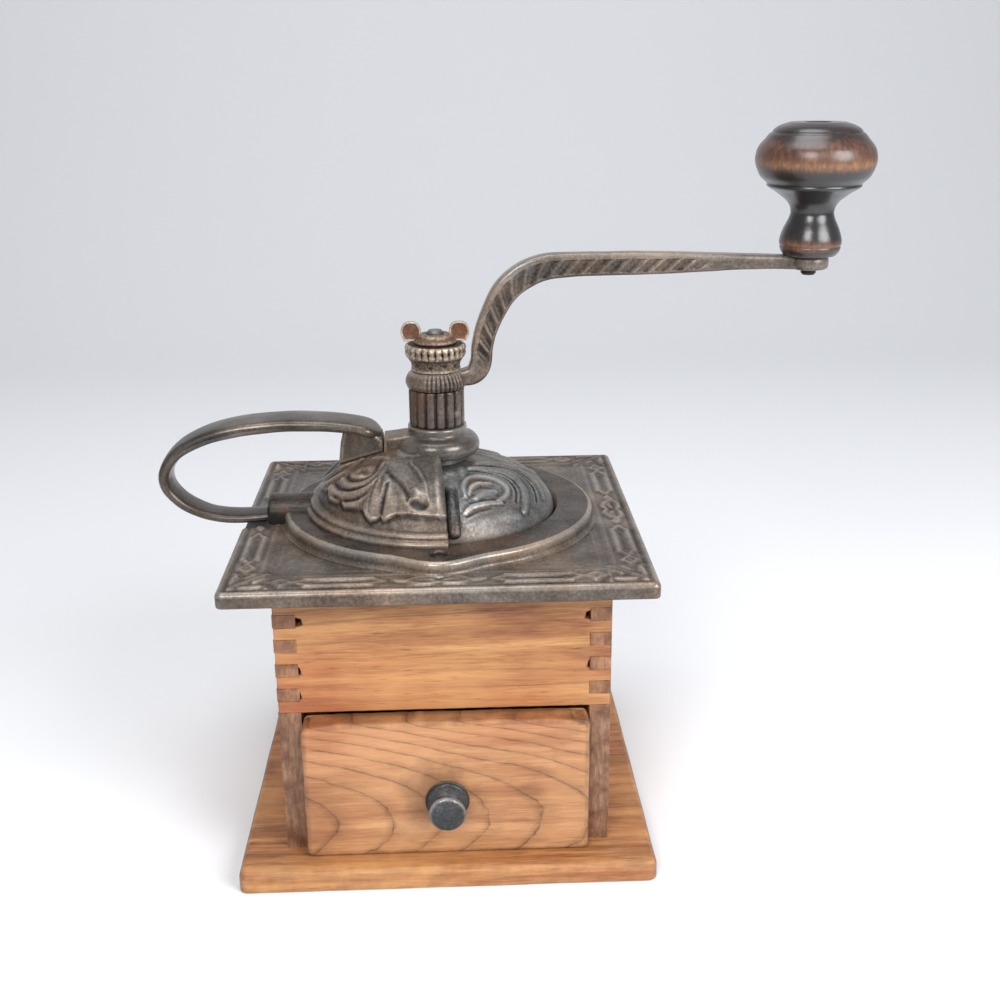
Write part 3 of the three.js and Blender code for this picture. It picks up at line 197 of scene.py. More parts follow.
def build(name, skins, finish, body, stands_for=(), shift=0.0, crease=38):
    """One mesh object from skins, welded, smooth up to the crease angle, riding on its body."""
    points = np.concatenate([part["points"] for part in skins])
    faces, start = [], 0
    for part in skins:
        faces += (part["quads"] + start).tolist()
        faces += [(cap + start).tolist() for cap in part["caps"]]
        start += len(part["points"])
    mesh = smooth_mesh(name, (points + (shift, 0, 0)) * MM, faces, finish)
    worn = np.concatenate([part["worn"] for part in skins]).astype(np.float32)
    mesh.attributes.new("worn", "FLOAT", "POINT").data.foreach_set("value", worn)
    work = bmesh.new()
    work.from_mesh(mesh)
    bmesh.ops.remove_doubles(work, verts=work.verts, dist=WELD)
    work.to_mesh(mesh)
    work.free()
    mesh.set_sharp_from_angle(angle=math.radians(crease))
    piece = link(name, mesh)
    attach(piece, body)
    if stands_for:
        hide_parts(*stands_for)
    triangles = sum(len(face.vertices) - 2 for face in mesh.polygons)
    print(f"{name}: {len(mesh.vertices)} points, {triangles} triangles")
    return piece


print("points closer than", WELD * 1e6, "micrometres are welded")

# %% Turned, sawn and swept shapes
def about_z(radius, angle, height):
    """Points round Z, with angles in radians: (r cos a, r sin a, z)."""
    return np.stack([radius * np.cos(angle), radius * np.sin(angle), height + 0 * angle], -1)


def turned(profile, columns):
    """A profile of (radius, height) carried round Z, and the angles of its columns."""
    angle = np.linspace(0, TURN, columns, endpoint=False)
    radius, height = np.asarray(profile, float).T[:, :, None]
    return about_z(radius, angle, height), angle


def inset(outline, amount):
    """Every corner moves inwards along its mitre, so that both its edges shift by the amount."""
    edges = np.roll(outline, -1, axis=0) - outline
    edges /= np.linalg.norm(edges, axis=1, keepdims=True)
    inwards = np.stack([-edges[:, 1], edges[:, 0]], 1)
    before = np.roll(inwards, 1, axis=0)
    mitre = (inwards + before) / (1 + np.sum(inwards * before, axis=1, keepdims=True))
    return outline + amount * mitre


def layered(outline, layers):
    """The outline once per layer (inset, height), as rows of a skin."""
    return np.array([np.column_stack([inset(outline, shrink), np.full(len(outline), height)])
                     for shrink, height in layers])


def sawn(outline, low, high, edge, steps=4):
    """An outline (counter-clockwise) carried from low to high, with both edges rounded: at the
    angle t of the round the outline is inset by edge (1 - sin t), edge (1 - cos t) from the face."""
    t = quarter(steps + 1)
    shrink = np.concatenate([[1.6 * edge], edge * (1 - np.sin(t))])
    rise = np.concatenate([[0], edge * (1 - np.cos(t))])
    rows = layered(outline, [*zip(shrink, low + rise), *zip(shrink[::-1], high - rise[::-1])])
    worn = np.ones((len(rows), 1))
    worn[[0, -1]] = 0
    return rows, worn


def rounded_rectangle(left, right, bottom, top, radius, steps=6):
    """Corners as quarter circles, counter-clockwise from the lower right one."""
    centres = [(right - radius, bottom + radius, -90), (right - radius, top - radius, 0),
               (left + radius, top - radius, 90), (left + radius, bottom + radius, 180)]
    angles = np.radians(np.linspace(0, 90, steps + 1))
    return np.concatenate([
        np.stack([x + radius * np.cos(angles + math.radians(start)),
                  y + radius * np.sin(angles + math.radians(start))], 1)
        for x, y, start in centres])


def divided(outline, step):
    """Long edges of an outline get points in between, about a step apart."""
    ends = np.roll(outline, -1, axis=0)
    runs = [np.linspace(a, b, max(1, round(float(np.linalg.norm(b - a)) / step)), endpoint=False)
            for a, b in zip(outline, ends)]
    return np.concatenate(runs)


def section(faces, corner_steps=5):
    """Once round a rounded rectangle: the corner signs (across, up) and the unit circle at each
    point, so that across = sign (half - radius) + radius cos, and up likewise with sin."""
    signs = np.array([(1, 1), (-1, 1), (-1, -1), (1, -1)], float)
    sign_rows, angle_rows = [], []
    for k, count in enumerate(faces):
        sign_rows.append(np.repeat(signs[k:k + 1], corner_steps + 1, axis=0))
        angle_rows.append(np.radians(np.linspace(90 * k, 90 * k + 90, corner_steps + 1)))
        sign_rows.append(np.linspace(signs[k], signs[(k + 1) % 4], count + 2)[1:-1])
        angle_rows.append(np.full(count, math.radians(90 * k + 90)))
    sign, angle = np.concatenate(sign_rows), np.concatenate(angle_rows)
    return sign[:, 0], sign[:, 1], np.cos(angle), np.sin(angle)


def swept(line, half_across, half_up, radius, faces, crown=0.0):
    """The rounded section carried along a line (x, z): across is Y, up is the line's left side.
    Returns the points, the share up (-1 to 1) and which points lie on the two side faces."""
    way = np.gradient(line, axis=0)
    way /= np.linalg.norm(way, axis=1, keepdims=True)
    left = np.stack([-way[:, 1], way[:, 0]], 1)
    sign_y, sign_up, cosine, sine = section(faces)
    half_across, half_up, radius = (np.broadcast_to(v, len(line))[:, None]
                                    for v in (half_across, half_up, radius))
    radius = np.minimum(radius, 0.98 * np.minimum(half_across, half_up))
    across = sign_y * (half_across - radius) + radius * cosine
    up = sign_up * (half_up - radius) + radius * sine
    up = up - crown * np.sign(up) * (across / half_across) ** 2
    points = np.stack([line[:, :1] + left[:, :1] * up, across, line[:, 1:] + left[:, 1:] * up], -1)
    return points, up / half_up, np.abs(cosine) > 0.999


print("points once round a section of four faces:", len(section([1, 1, 1, 1])[0]))

# %% [markdown]
# ## Cast ornament
# The iron was poured in a sand mould, so its leaves and scrolls are soft ridges that swell and
# taper. Each one is a stroke here: a short curve with a width and a height. A point of the casting
# is raised by the distance to the nearest part of the stroke, so crossing strokes run together as
# they do in iron. Real relief is made in the mesh, because it has to catch light from every side.

# %% Strokes of relief
def stroke_height(points, line, width, height, taper):
    """height (1 - d)^2 (1 + 2 d) where d is the distance over the stroke's half width there."""
    share = np.linspace(0, 1, len(line))
    half = width * ((1 - taper) + taper * np.sqrt(np.sin(math.pi * np.clip(share, 0.02, 0.98))))
    near = np.all((points > line.min(0) - width) & (points < line.max(0) + width), axis=-1)
    raised = np.zeros(points.shape[:-1])
    gap = np.linalg.norm(points[near][:, None] - line[None], axis=2) / half
    if gap.size:
        raised[near] = height * eased(1 - gap.min(axis=1))
    return raised


def relief(points, strokes):
    """The highest of the raised strokes plus the deepest of the sunken ones at each point."""
    ridge, groove = np.zeros(points.shape[:-1]), np.zeros(points.shape[:-1])
    for stroke in strokes:
        height = stroke_height(points, *stroke)
        ridge, groove = np.maximum(ridge, height), np.minimum(groove, height)
    return ridge + groove


def hull(azimuth, lift, radius, rise, base, out=0.0):
    """A point on half an ellipsoid: (radius cos lift, base + rise sin lift), moved out along the
    surface's normal, and turned to its azimuth."""
    t = np.radians(lift)
    normal = np.stack([np.cos(t) / radius, np.sin(t) / rise])
    normal = normal / np.linalg.norm(normal, axis=0)
    return about_z(radius * np.cos(t) + out * normal[0], np.radians(azimuth),
                   base + rise * np.sin(t) + out * normal[1])


def on_hull(strokes, radius, rise, base, mirror=None):
    """Strokes drawn in degrees (azimuth, lift) laid on the hull, and mirrored in an azimuth."""
    laid = []
    for knots, *shape in strokes:
        for side in (0, 1) if mirror is not None else (0,):
            drawn = np.array(knots, float)
            if side:
                drawn[:, 0] = 2 * mirror - drawn[:, 0]
            dense = curve(drawn, 12)
            laid.append((hull(dense[:, 0], dense[:, 1], radius, rise, base), *shape))
    return laid


test_line = curve([(-5, 0), (5, 0)])
test_points = np.array([[0.0, away] for away in (0, 1, 2)])
print("a stroke 2 wide and 1 high, at 0, 1 and 2 from its line:",
      stroke_height(test_points, test_line, 2.0, 1.0, 0.0))

# %% [markdown]
# ## Finishes
# A finish is a small network of shader nodes that reads the place on the object, so that it fits
# any shape without a picture. The helper below makes one node per call and returns its output.
# Wear follows the relief through the attribute worn, which each skin carries: 0 in the recesses
# and up to 1 where hands and cloths have rubbed.

# %% A helper that builds finishes
def shade(colour, share=1.0):
    """A colour times a share, with the fourth value that colour sockets ask for."""
    return (*[value * share for value in colour], 1)


def grey(value):
    return (value, value, value)


class Finish:
    """A material's node tree, made call by call."""

    def __init__(self, name, **constants):
        self.material = bpy.data.materials.new(name)
        self.material.use_nodes = True
        self.tree = self.material.node_tree
        self.shader = self.tree.nodes["Principled BSDF"]
        self.set(**constants)
        coordinates = self.tree.nodes.new("ShaderNodeTexCoord")
        self.place, self.facing = coordinates.outputs["Object"], coordinates.outputs["Normal"]

    def node(self, kind, inputs, output=0, **settings):
        node = self.tree.nodes.new(kind)
        for key, value in settings.items():
            setattr(node, key, value)
        for socket, value in inputs.items():
            self.feed(node.inputs[socket], value)
        return node.outputs[output]

    def feed(self, socket, value):
        if isinstance(value, bpy.types.NodeSocket):
            self.tree.links.new(value, socket)
        else:
            socket.default_value = value

    def set(self, **inputs):
        for socket, value in inputs.items():
            self.feed(self.shader.inputs[socket.replace("_", " ")], value)

    def worn(self):
        return self.node("ShaderNodeAttribute", {}, "Fac", attribute_name="worn")

    def mapped(self, scale=(1, 1, 1), location=(0, 0, 0)):
        return self.node("ShaderNodeMapping", {"Vector": self.place, "Scale": scale,
                                               "Location": location})

    def noise(self, scale, detail=4, rough=0.5, place=None, warp=0.0):
        return self.node("ShaderNodeTexNoise", {
            "Vector": place or self.place, "Scale": scale, "Detail": detail,
            "Roughness": rough, "Distortion": warp})

    def maths(self, kind, *values):
        return self.node("ShaderNodeMath", dict(enumerate(values)), operation=kind)

    def add(self, first, *others):
        for value in others:
            first = self.maths("ADD", first, value)
        return first

    def times(self, first, second):
        return self.maths("MULTIPLY", first, second)

    def axes(self, vector):
        return [self.node("ShaderNodeSeparateXYZ", {0: vector}, k) for k in range(3)]

    def span(self, value, low, high, to_low=0.0, to_high=1.0):
        return self.node("ShaderNodeMapRange", {0: value, 1: low, 2: high, 3: to_low, 4: to_high})

    def sway(self, value, amount):
        """A noise, which keeps to about 0.3 to 0.7, spread over -amount to amount."""
        return self.span(value, 0.3, 0.7, -amount, amount)

    def blend(self, share, first, second, kind="MIX"):
        return self.node("ShaderNodeMix", {0: share, 6: first, 7: second}, 2,
                         data_type="RGBA", blend_type=kind)

    def ramp(self, value, stops):
        node = self.tree.nodes.new("ShaderNodeValToRGB")
        self.feed(node.inputs[0], value)
        band = node.color_ramp.elements
        while len(band) < len(stops):
            band.new(0.5)
        for mark, (place, colour) in zip(band, stops):
            mark.position = place
            mark.color = shade(colour)
        return node.outputs[0]

    def bump(self, height, depth):
        return self.node("ShaderNodeBump", {"Height": height, "Distance": depth * MM,
                                            "Strength": 1.0})


print("finish helper ready")

# %% [markdown]
# ## Iron and steel
# Old cast iron is brown-black in its recesses, where oil and dust have gathered, and a paler,
# smoother grey-brown on its ridges. One recipe makes all the irons: a wear value, swayed by broad
# clouds and by fine specks, runs through four colours and lowers the roughness. Rust shows
# through in small patches where little is rubbed, the colour turns warmer and cooler from place
# to place, and fine pits come from two noises in the bump.

# %% Iron finishes
TAN = (0.52, 0.42, 0.32)
RUST = (0.17, 0.072, 0.032)
COOL, WARM = (0.84, 0.90, 0.96), (1.16, 0.98, 0.84)


def iron(name, dark, middle, pale, bare=TAN, rust=RUST, rust_share=0.4, wear=0.0,
         rough=(0.44, 0.24), metal=0.42, speck=0.11, pit=0.13):
    mat = Finish(name, Metallic=metal)
    specks = mat.noise(850, 2)
    value = mat.add(mat.worn(), wear, mat.sway(mat.noise(48, 5, 0.62), 0.18),
                    mat.sway(specks, speck))
    colour = mat.ramp(value, [(0.0, dark), (0.36, middle), (0.80, pale), (1.0, bare)])
    patches = mat.span(mat.noise(30, 7, 0.72, mat.mapped(location=(3, 7, 5))), 0.56, 0.68)
    patches = mat.times(patches, mat.span(value, 0.1, 0.75, rust_share, 0))
    colour = mat.blend(patches, colour, shade(rust))
    warmth = mat.span(mat.noise(21, 4, 0.6, mat.mapped(location=(8, 2, 6))), 0.38, 0.62)
    colour = mat.blend(0.8, colour, mat.blend(warmth, shade(COOL), shade(WARM)), "MULTIPLY")
    roughness = mat.add(mat.span(value, 0, 1, *rough), mat.times(patches, 0.2))
    pits = mat.add(mat.times(mat.noise(300, 3, 0.55), 0.5), mat.times(specks, 0.5))
    mat.set(Base_Color=colour, Roughness=roughness, Normal=mat.bump(pits, pit))
    return mat.material


cast_iron = iron("cast_iron", (0.014, 0.011, 0.008), (0.125, 0.099, 0.080), (0.33, 0.285, 0.24))
smooth_iron = iron("smooth_iron", (0.016, 0.014, 0.012), (0.100, 0.086, 0.074),
                   (0.30, 0.27, 0.24), rough=(0.36, 0.20), metal=0.55, speck=0.08, pit=0.07)
inner_iron = iron("inner_iron", (0.030, 0.024, 0.020), (0.100, 0.082, 0.066), (0.22, 0.19, 0.16),
                  rust_share=0.6, wear=0.3)
door_iron = iron("door_iron", (0.018, 0.017, 0.015), (0.160, 0.150, 0.138), (0.36, 0.345, 0.325),
                 (0.60, 0.47, 0.33), RUST, 0.3, rough=(0.48, 0.28), metal=0.5, speck=0.12)
plating = iron("worn_plating", (0.022, 0.017, 0.013), (0.085, 0.066, 0.049), (0.29, 0.25, 0.205),
               (0.50, 0.455, 0.395), (0.15, 0.07, 0.033), 0.6, rough=(0.6, 0.38), metal=0.5,
               speck=0.24)
ear_plating = iron("ear_plating", (0.13, 0.055, 0.025), (0.16, 0.125, 0.10), (0.42, 0.37, 0.31),
                   (0.60, 0.53, 0.45), (0.16, 0.07, 0.03), 0.5, rough=(0.62, 0.38), metal=0.45,
                   speck=0.25)
steel = iron("dark_steel", (0.05, 0.052, 0.056), (0.14, 0.15, 0.165), (0.34, 0.36, 0.39),
             (0.5, 0.5, 0.5), (0.15, 0.07, 0.04), 0.35, wear=0.4, rough=(0.5, 0.3), metal=0.75)
knob_iron = iron("knob_iron", (0.018, 0.020, 0.022), (0.065, 0.070, 0.074), (0.21, 0.225, 0.24),
                 (0.38, 0.39, 0.40), (0.10, 0.065, 0.04), 0.3, wear=0.03, rough=(0.5, 0.32),
                 metal=0.6)
print("irons made: cast, smooth, inner, door, plated, ears, steel, knob")

# %% [markdown]
# ## Wood
# One recipe, several looks. Fibres are a noise stretched along the grain, over broad clouds and
# bands; a blush, rubbed pale patches, pores and soil lie over them. Year rings are thin dark
# lines. The drawer front was sawn flat, off the heart of the tree, so there they show as nested
# arches: their level lines are x plus a parabola in z. Hands have darkened the wood round its
# knob. Where a board's end shows, the same wood is darker and dull, least so in the fingers.

# %% Wood finishes
ARCH_HEART, ARCH_STEP, RING_STEP = 27.0 * MM, 22.5 * MM, 8.5 * MM
HANDLED = (-3.0 * MM, DRAWER_FACE * MM, 38.0 * MM)
RING_LINE = [(0.0, grey(1.0)), (0.018, grey(0.9)), (0.05, grey(0.3)), (0.40, grey(0.0)),
             (0.86, grey(0.08)), (1.0, grey(0.6))]


def wood(name, pale, middle, deep, end, grain="X", streak=0.5, arches=False, bands=0.15,
         blush=(0.50, 0.15, 0.05), rings=0.5):
    mat = Finish(name, Coat_Weight=0.10, Coat_Roughness=0.38)
    axis = "XYZ".index(grain)

    def stretched(share, location=(0, 0, 0)):
        scale = [1.0, 1.0, 1.0]
        scale[axis] = share
        return mat.mapped(tuple(scale), location)

    along, broad = stretched(0.065), stretched(0.16)
    fibres = mat.noise(1150, 5, 0.7, along, 0.4)
    clouds = mat.noise(42, 4, 0.55, broad, 0.6)
    stripes = mat.span(mat.noise(190, 3, 0.6, along, 0.2), 0.32, 0.68, -bands, bands)
    tone = mat.add(mat.times(mat.span(fibres, 0.28, 0.72), streak),
                   mat.times(mat.span(clouds, 0.3, 0.7), 1 - streak), stripes)
    colour = mat.ramp(tone, [(0.08, deep), (0.5, middle), (0.92, pale)])
    flush = mat.noise(17, 4, 0.6, stretched(0.16, (1, 2, 4)))
    rubbed_pale = mat.noise(27, 3, 0.55, mat.mapped((0.6, 0.8, 1.0), (5, 1, 2)))
    pores = mat.noise(1500, 2, 0.5, along)
    for pattern, low, high, most, over in (
            (flush, 0.50, 0.66, 0.5, shade(blush)),
            (rubbed_pale, 0.46, 0.68, 0.55, shade(pale, 1.08)),
            (pores, 0.66, 0.74, 0.55, shade(deep, 0.35))):
        colour = mat.blend(mat.span(pattern, low, high, 0, most), colour, over)

    x, y, z = mat.axes(mat.place)
    if arches:
        over = mat.maths("SUBTRACT", z, ARCH_HEART)
        above = mat.maths("POWER", mat.maths("MAXIMUM", over, 0.0), 2.0)
        below = mat.maths("POWER", mat.maths("MINIMUM", over, 0.0), 2.0)
        level = mat.add(x, mat.times(above, 58.0), mat.times(below, 42.0),
                        mat.sway(mat.noise(26, 3), 0.004),
                        mat.sway(mat.noise(240, 3, 0.6), 0.0006))
        phase = mat.add(mat.maths("DIVIDE", level, ARCH_STEP), 20.16)
        broken = mat.span(mat.noise(130, 4, 0.6), 0.32, 0.62, 0.35, 0.85)
    else:
        level = mat.add(z, mat.times(y if axis == 0 else x, 0.8),
                        mat.sway(mat.noise(16, 3, 0.5, broad), 0.012),
                        mat.sway(mat.noise(90, 3, 0.6, broad), 0.0015))
        phase = mat.add(mat.maths("DIVIDE", level, RING_STEP), 40.3)
        broken = mat.span(mat.noise(34, 4, 0.65, broad), 0.42, 0.64, 0, rings)
    line = mat.times(mat.ramp(mat.maths("FRACT", phase), RING_LINE), broken)
    colour = mat.blend(line, colour, shade(deep, 0.33))
    height = mat.maths("SUBTRACT", fibres, mat.times(line, 0.7))

    soil = mat.times(mat.span(mat.noise(62, 5, 0.7, broad), 0.55, 0.72, 0, 0.5),
                     mat.span(mat.noise(420, 3, 0.6, broad), 0.35, 0.6))
    if arches:
        away = mat.node("ShaderNodeVectorMath", {0: mat.place, 1: HANDLED}, 1,
                        operation="DISTANCE")
        halo = mat.add(away, mat.sway(mat.noise(95, 4, 0.6), 0.004))
        soil = mat.maths("MAXIMUM", soil, mat.span(halo, 0.009, 0.019, 0.5, 0))
    colour = mat.blend(soil, colour, shade(deep, 0.42))

    ends = mat.span(mat.maths("ABSOLUTE", mat.axes(mat.facing)[axis]), 0.6, 0.85)
    ends = mat.times(ends, mat.span(z, (FRONT_BOTTOM - 1.1) * MM, (FRONT_BOTTOM + 0.9) * MM,
                                    1.0, 0.66))
    ticks = mat.noise(750, 4, 0.65, mat.mapped((1, 1, 0.16)))
    end_colour = mat.blend(mat.span(ticks, 0.36, 0.62), shade(end, 0.5), shade(end))
    colour = mat.blend(ends, colour, end_colour)
    rubbed_dark = mat.times(mat.worn(), mat.span(mat.noise(160, 4, 0.6), 0.35, 0.65, 0, 0.8))
    colour = mat.blend(rubbed_dark, colour, shade(deep, 0.45))
    mat.set(Base_Color=colour, Roughness=mat.span(fibres, 0.3, 0.7, 0.62, 0.44),
            Normal=mat.bump(height, 0.22))
    return mat.material


front_wood = wood("front_wood", (0.58, 0.305, 0.112), (0.36, 0.150, 0.051), (0.17, 0.049, 0.019),
                  (0.43, 0.25, 0.155), bands=0.22)
side_wood = wood("side_wood", (0.62, 0.315, 0.12), (0.46, 0.20, 0.070), (0.25, 0.080, 0.028),
                 (0.37, 0.195, 0.112), "Y", bands=0.2)
drawer_wood = wood("drawer_wood", (0.60, 0.318, 0.148), (0.405, 0.180, 0.072),
                   (0.22, 0.074, 0.029), (0.34, 0.17, 0.09), streak=0.35, arches=True,
                   bands=0.16, blush=(0.46, 0.155, 0.055))
drawer_inner = wood("drawer_inner", (0.55, 0.33, 0.16), (0.46, 0.25, 0.105), (0.31, 0.145, 0.06),
                    (0.28, 0.16, 0.10), "Y", 0.45, rings=0.3)
base_wood = wood("base_wood", (0.60, 0.305, 0.114), (0.43, 0.176, 0.060), (0.17, 0.054, 0.020),
                 (0.36, 0.20, 0.11), bands=0.38, blush=(0.40, 0.14, 0.05))
print("woods made: front, sides, drawer front, drawer inside, base")

# %% [markdown]
# ## Knob lacquer
# The crank's knob was turned in hardwood and dipped in dark lacquer. Palms have rubbed it brown
# over the head, and through to the wood round its widest part. The worn value marks where, and a
# noise stretched up and down tears the borders.

# %% Lacquer finish
lacquer_mix = Finish("knob_lacquer", Coat_Weight=0.5, Coat_Roughness=0.24, Specular_IOR_Level=0.6)
streaks = lacquer_mix.noise(680, 4, 0.6, lacquer_mix.mapped((1, 1, 0.42)))
gone = lacquer_mix.add(lacquer_mix.worn(), lacquer_mix.sway(lacquer_mix.noise(60, 5, 0.6), 0.14),
                       lacquer_mix.sway(streaks, 0.17))
knob_colour = lacquer_mix.ramp(gone, [
    (0.0, (0.010, 0.009, 0.009)), (0.34, (0.022, 0.013, 0.010)), (0.58, (0.085, 0.032, 0.016)),
    (0.80, (0.16, 0.066, 0.026)), (1.0, (0.27, 0.125, 0.045))])
lacquer_mix.set(Base_Color=knob_colour, Roughness=lacquer_mix.span(gone, 0.2, 0.7, 0.28, 0.44),
                Normal=lacquer_mix.bump(lacquer_mix.noise(420, 4, 0.6), 0.12))
lacquer = lacquer_mix.material
print("lacquer made")

# %% [markdown]
# ## Base board
# A square of quarter-sawn hardwood on which the box stands. Its upper edge has been rounded by
# years of knocks, so the round wanders a little. Four screws come up through it, and their
# heads sit in sinks cut with a boolean, the plainest way to bore a finished board.

# %% Base board
SCREW_PLACES = [(x, y) for x in (-66.0, 66.0) for y in (-50.0, 50.0)]
SINK_LOW, SINK_TOP, SINK_RADIUS = -2.0, 2.6, 4.3


def board_on_table():
    outline = rounded_rectangle(-BASE_HALF, BASE_HALF, -BASE_HALF, BASE_HALF, BASE_CORNER)
    layers = [(3.0, 0.0), (0.8, 0.0), (0.25, 0.15), (0.0, 0.7), (0.0, BASE_TOP - BASE_ROUND)]
    layers += [(BASE_ROUND * (1 - math.cos(t)), BASE_TOP - BASE_ROUND * (1 - math.sin(t)))
               for t in quarter(7)[1:]]
    layers += [(BASE_ROUND + 0.4, BASE_TOP)]
    rows = layered(divided(outline, 4.0), layers)
    loose = np.array([0.0] + [1.0] * (len(layers) - 3) + [0.8, 0.6])[:, None]
    knocked = rows.copy()
    for axis in (0, 1):
        knocked[..., axis] += 0.22 * uneven(knocked, 30.0, 3 + axis)
    rows += (knocked - rows) * loose[..., None]
    return skin(rows, worn=0.3 * loose * (rows[:, :1, 2] > 0.1))


def bored(piece, holes, low, high, radius):
    """Cuts round holes at places (x, y), from low to high, out of a finished piece."""
    tools = []
    for x, y in holes:
        part = skin(turned([(radius, low), (radius, high)], 24)[0] + (x, y, 0))
        mesh = bpy.data.meshes.new("bore")
        mesh.from_pydata(part["points"] * MM, [],
                         part["quads"].tolist() + [cap.tolist() for cap in part["caps"]])
        tools.append(link("bore", mesh))
        cut = piece.modifiers.new("bore", "BOOLEAN")
        cut.object, cut.operation, cut.solver = tools[-1], "DIFFERENCE", "EXACT"
    graph = bpy.context.evaluated_depsgraph_get()
    cut_mesh = bpy.data.meshes.new_from_object(piece.evaluated_get(graph))
    piece.modifiers.clear()
    piece.data = cut_mesh
    for tool in tools:
        bpy.data.objects.remove(tool)


base_board = build("base_board_worn", [board_on_table()], base_wood, "housing",
                   ["base_board"])
bored(base_board, SCREW_PLACES, SINK_LOW, SINK_TOP, SINK_RADIUS)
print("screw sinks:", len(SCREW_PLACES))

# %% [markdown]
# ## Box boards
# The four boards lock together with square fingers, cut by machine. Each board is a flat outline
# with its fingers, carried through the board's thickness. The edges get a small round, which
# draws the thin dark lines of the joints. Some saw cuts ran a few millimetres too far, and the
# front board shows them beside the fingers.

# %% Boards with fingers
def finger_side(levels, outer, inner, overcuts=()):
    """Points up one side of a board: even steps reach outer, odd ones inner, and a cut that ran
    too far goes on past inner over part of its step."""
    points = []
    for k, (low, high) in enumerate(zip(levels, levels[1:])):
        reach = outer if k % 2 == 0 else inner
        points.append((reach, low))
        chip = dict(overcuts).get(k)
        if chip:
            deep = inner - np.sign(inner) * chip
            points += [(reach, low + 0.5), (deep, low + 1.2),
                       (deep + np.sign(inner) * 0.5, high - 1.9), (reach, high - 1.0)]
        points.append((reach, high))
    return points


def box_board(name, outline, low, high, order, finish):
    """An outline carried from low to high; the order turns its axes into x, y and z."""
    rows, worn = sawn(np.array(outline), low, high, BOARD_ROUND, 2)
    build(name + "_grained", [skin(rows[..., order], worn=worn)], finish, "housing",
          [name])


def cross_board(name, low, high, bottom, fingers, left=(), right=()):
    levels = np.linspace(bottom, BOX_TOP, fingers + 1)
    rising = finger_side(levels, BOX_HALF, BOX_INNER, right)
    falling = finger_side(levels, -BOX_HALF, -BOX_INNER, left)[::-1]
    box_board(name, rising + falling, low, high, [0, 2, 1], front_wood)


def side_board(name, side):
    front = np.linspace(FRONT_BOTTOM, BOX_TOP, FRONT_FINGERS + 1)
    back = np.linspace(BASE_TOP, BOX_TOP, BACK_FINGERS + 1)
    rising = finger_side(back, BOX_INNER, BOX_HALF)
    front_edge = [(-BOX_HALF, BASE_TOP), (-BOX_HALF, FRONT_BOTTOM)]
    falling = (front_edge + finger_side(front, -BOX_INNER, -BOX_HALF))[::-1]
    box_board(name, rising + falling, side * BOX_INNER, side * BOX_HALF, [2, 0, 1], side_wood)


cross_board("front_board", -BOX_HALF, -BOX_INNER, FRONT_BOTTOM, FRONT_FINGERS,
            left=((1, 1.0), (3, 1.5), (7, 3.2)), right=((3, 1.2), (7, 2.4)))
cross_board("back_board", BOX_INNER, BOX_HALF, BASE_TOP, BACK_FINGERS)
side_board("side_board_left", -1)
side_board("side_board_right", 1)

# %% [markdown]
# ## Drawer front
# A thicker board, proud of the box, with softly rounded corners. Its upper edge is bruised, most
# of all at both ends, and a sliver is rubbed bare near the right one. The bruises are small dips
# of the outline's top, faded into the face by the rows behind the rounded edge.

# %% Drawer front
EDGE_DIPS = [(-61.0, 7.0, 1.5), (-52.0, 5.0, 0.5), (-30.0, 9.0, 0.25), (8.0, 7.0, 0.3),
             (34.0, 6.0, 0.35), (52.0, 5.0, 0.8), (58.5, 4.0, 1.2)]
DIP_SHARE = [0.6, 0.7, 0.85] + [1.0] * 8 + [0.3]
LIP_SHARE = [0.0, 0.1, 0.5] + [1.0] * 7 + [0.6, 0.0]
SLIVER_X, SLIVER_HALF = 56.5, 5.0


def drawer_face():
    outline = rounded_rectangle(-DRAWER_HALF, DRAWER_HALF, DRAWER_LOW, DRAWER_TOP, DRAWER_CORNER)
    layers = [(2.8, 0.0), (2.4, 0.0), (2.0, 0.0)]
    layers += [(DRAWER_ROUND * (1 - math.sin(t)), DRAWER_ROUND * (1 - math.cos(t)))
               for t in quarter(7)]
    layers += [(0.0, DRAWER_BACK - DRAWER_FACE - 0.4), (0.4, DRAWER_BACK - DRAWER_FACE)]
    rows = layered(divided(outline, 1.6), [(s, DRAWER_FACE + depth) for s, depth in layers])
    fade = np.array(DIP_SHARE)[:, None]
    x = rows[..., 0]
    near_top = fade * eased((rows[..., 1] - (DRAWER_TOP - 6.0)) / 4.0)
    dip = sum(depth * hump(x, place, half) for place, half, depth in EDGE_DIPS)
    rows[..., 1] -= near_top * (dip + 0.12 * uneven(rows, 5.0, 11))
    rows[..., 0] += fade * 0.15 * uneven(rows, 14.0, 12)
    sliver = near_top * hump(x, SLIVER_X, SLIVER_HALF)
    return skin(rows[..., [0, 2, 1]], worn=0.55 * np.array(LIP_SHARE)[:, None] + 0.5 * sliver)


build("drawer_front_worn", [drawer_face()], drawer_wood, "drawer", ["drawer_front"],
      crease=45)

# %% [markdown]
# ## Drawer knob
# A small iron knob: a round foot against the wood, a thin neck, and a domed head with a low ring
# on its face. It is one profile turned about its own axis, which here points out of the drawer.

# %% Drawer knob
DRAWER_KNOB = [(0, 0), (8.9, 0), (9.0, 0.5), (8.6, 1.5), (6.8, 2.4), (4.6, 3.9), (4.15, 5.6),
               (4.7, 7.2), (6.6, 8.5), (7.7, 9.6), (7.9, 10.6), (7.4, 11.6), (6.0, 12.2),
               (4.2, 12.35), (3.4, 12.1), (3.0, 11.95), (2.0, 12.2), (0, 12.35)]


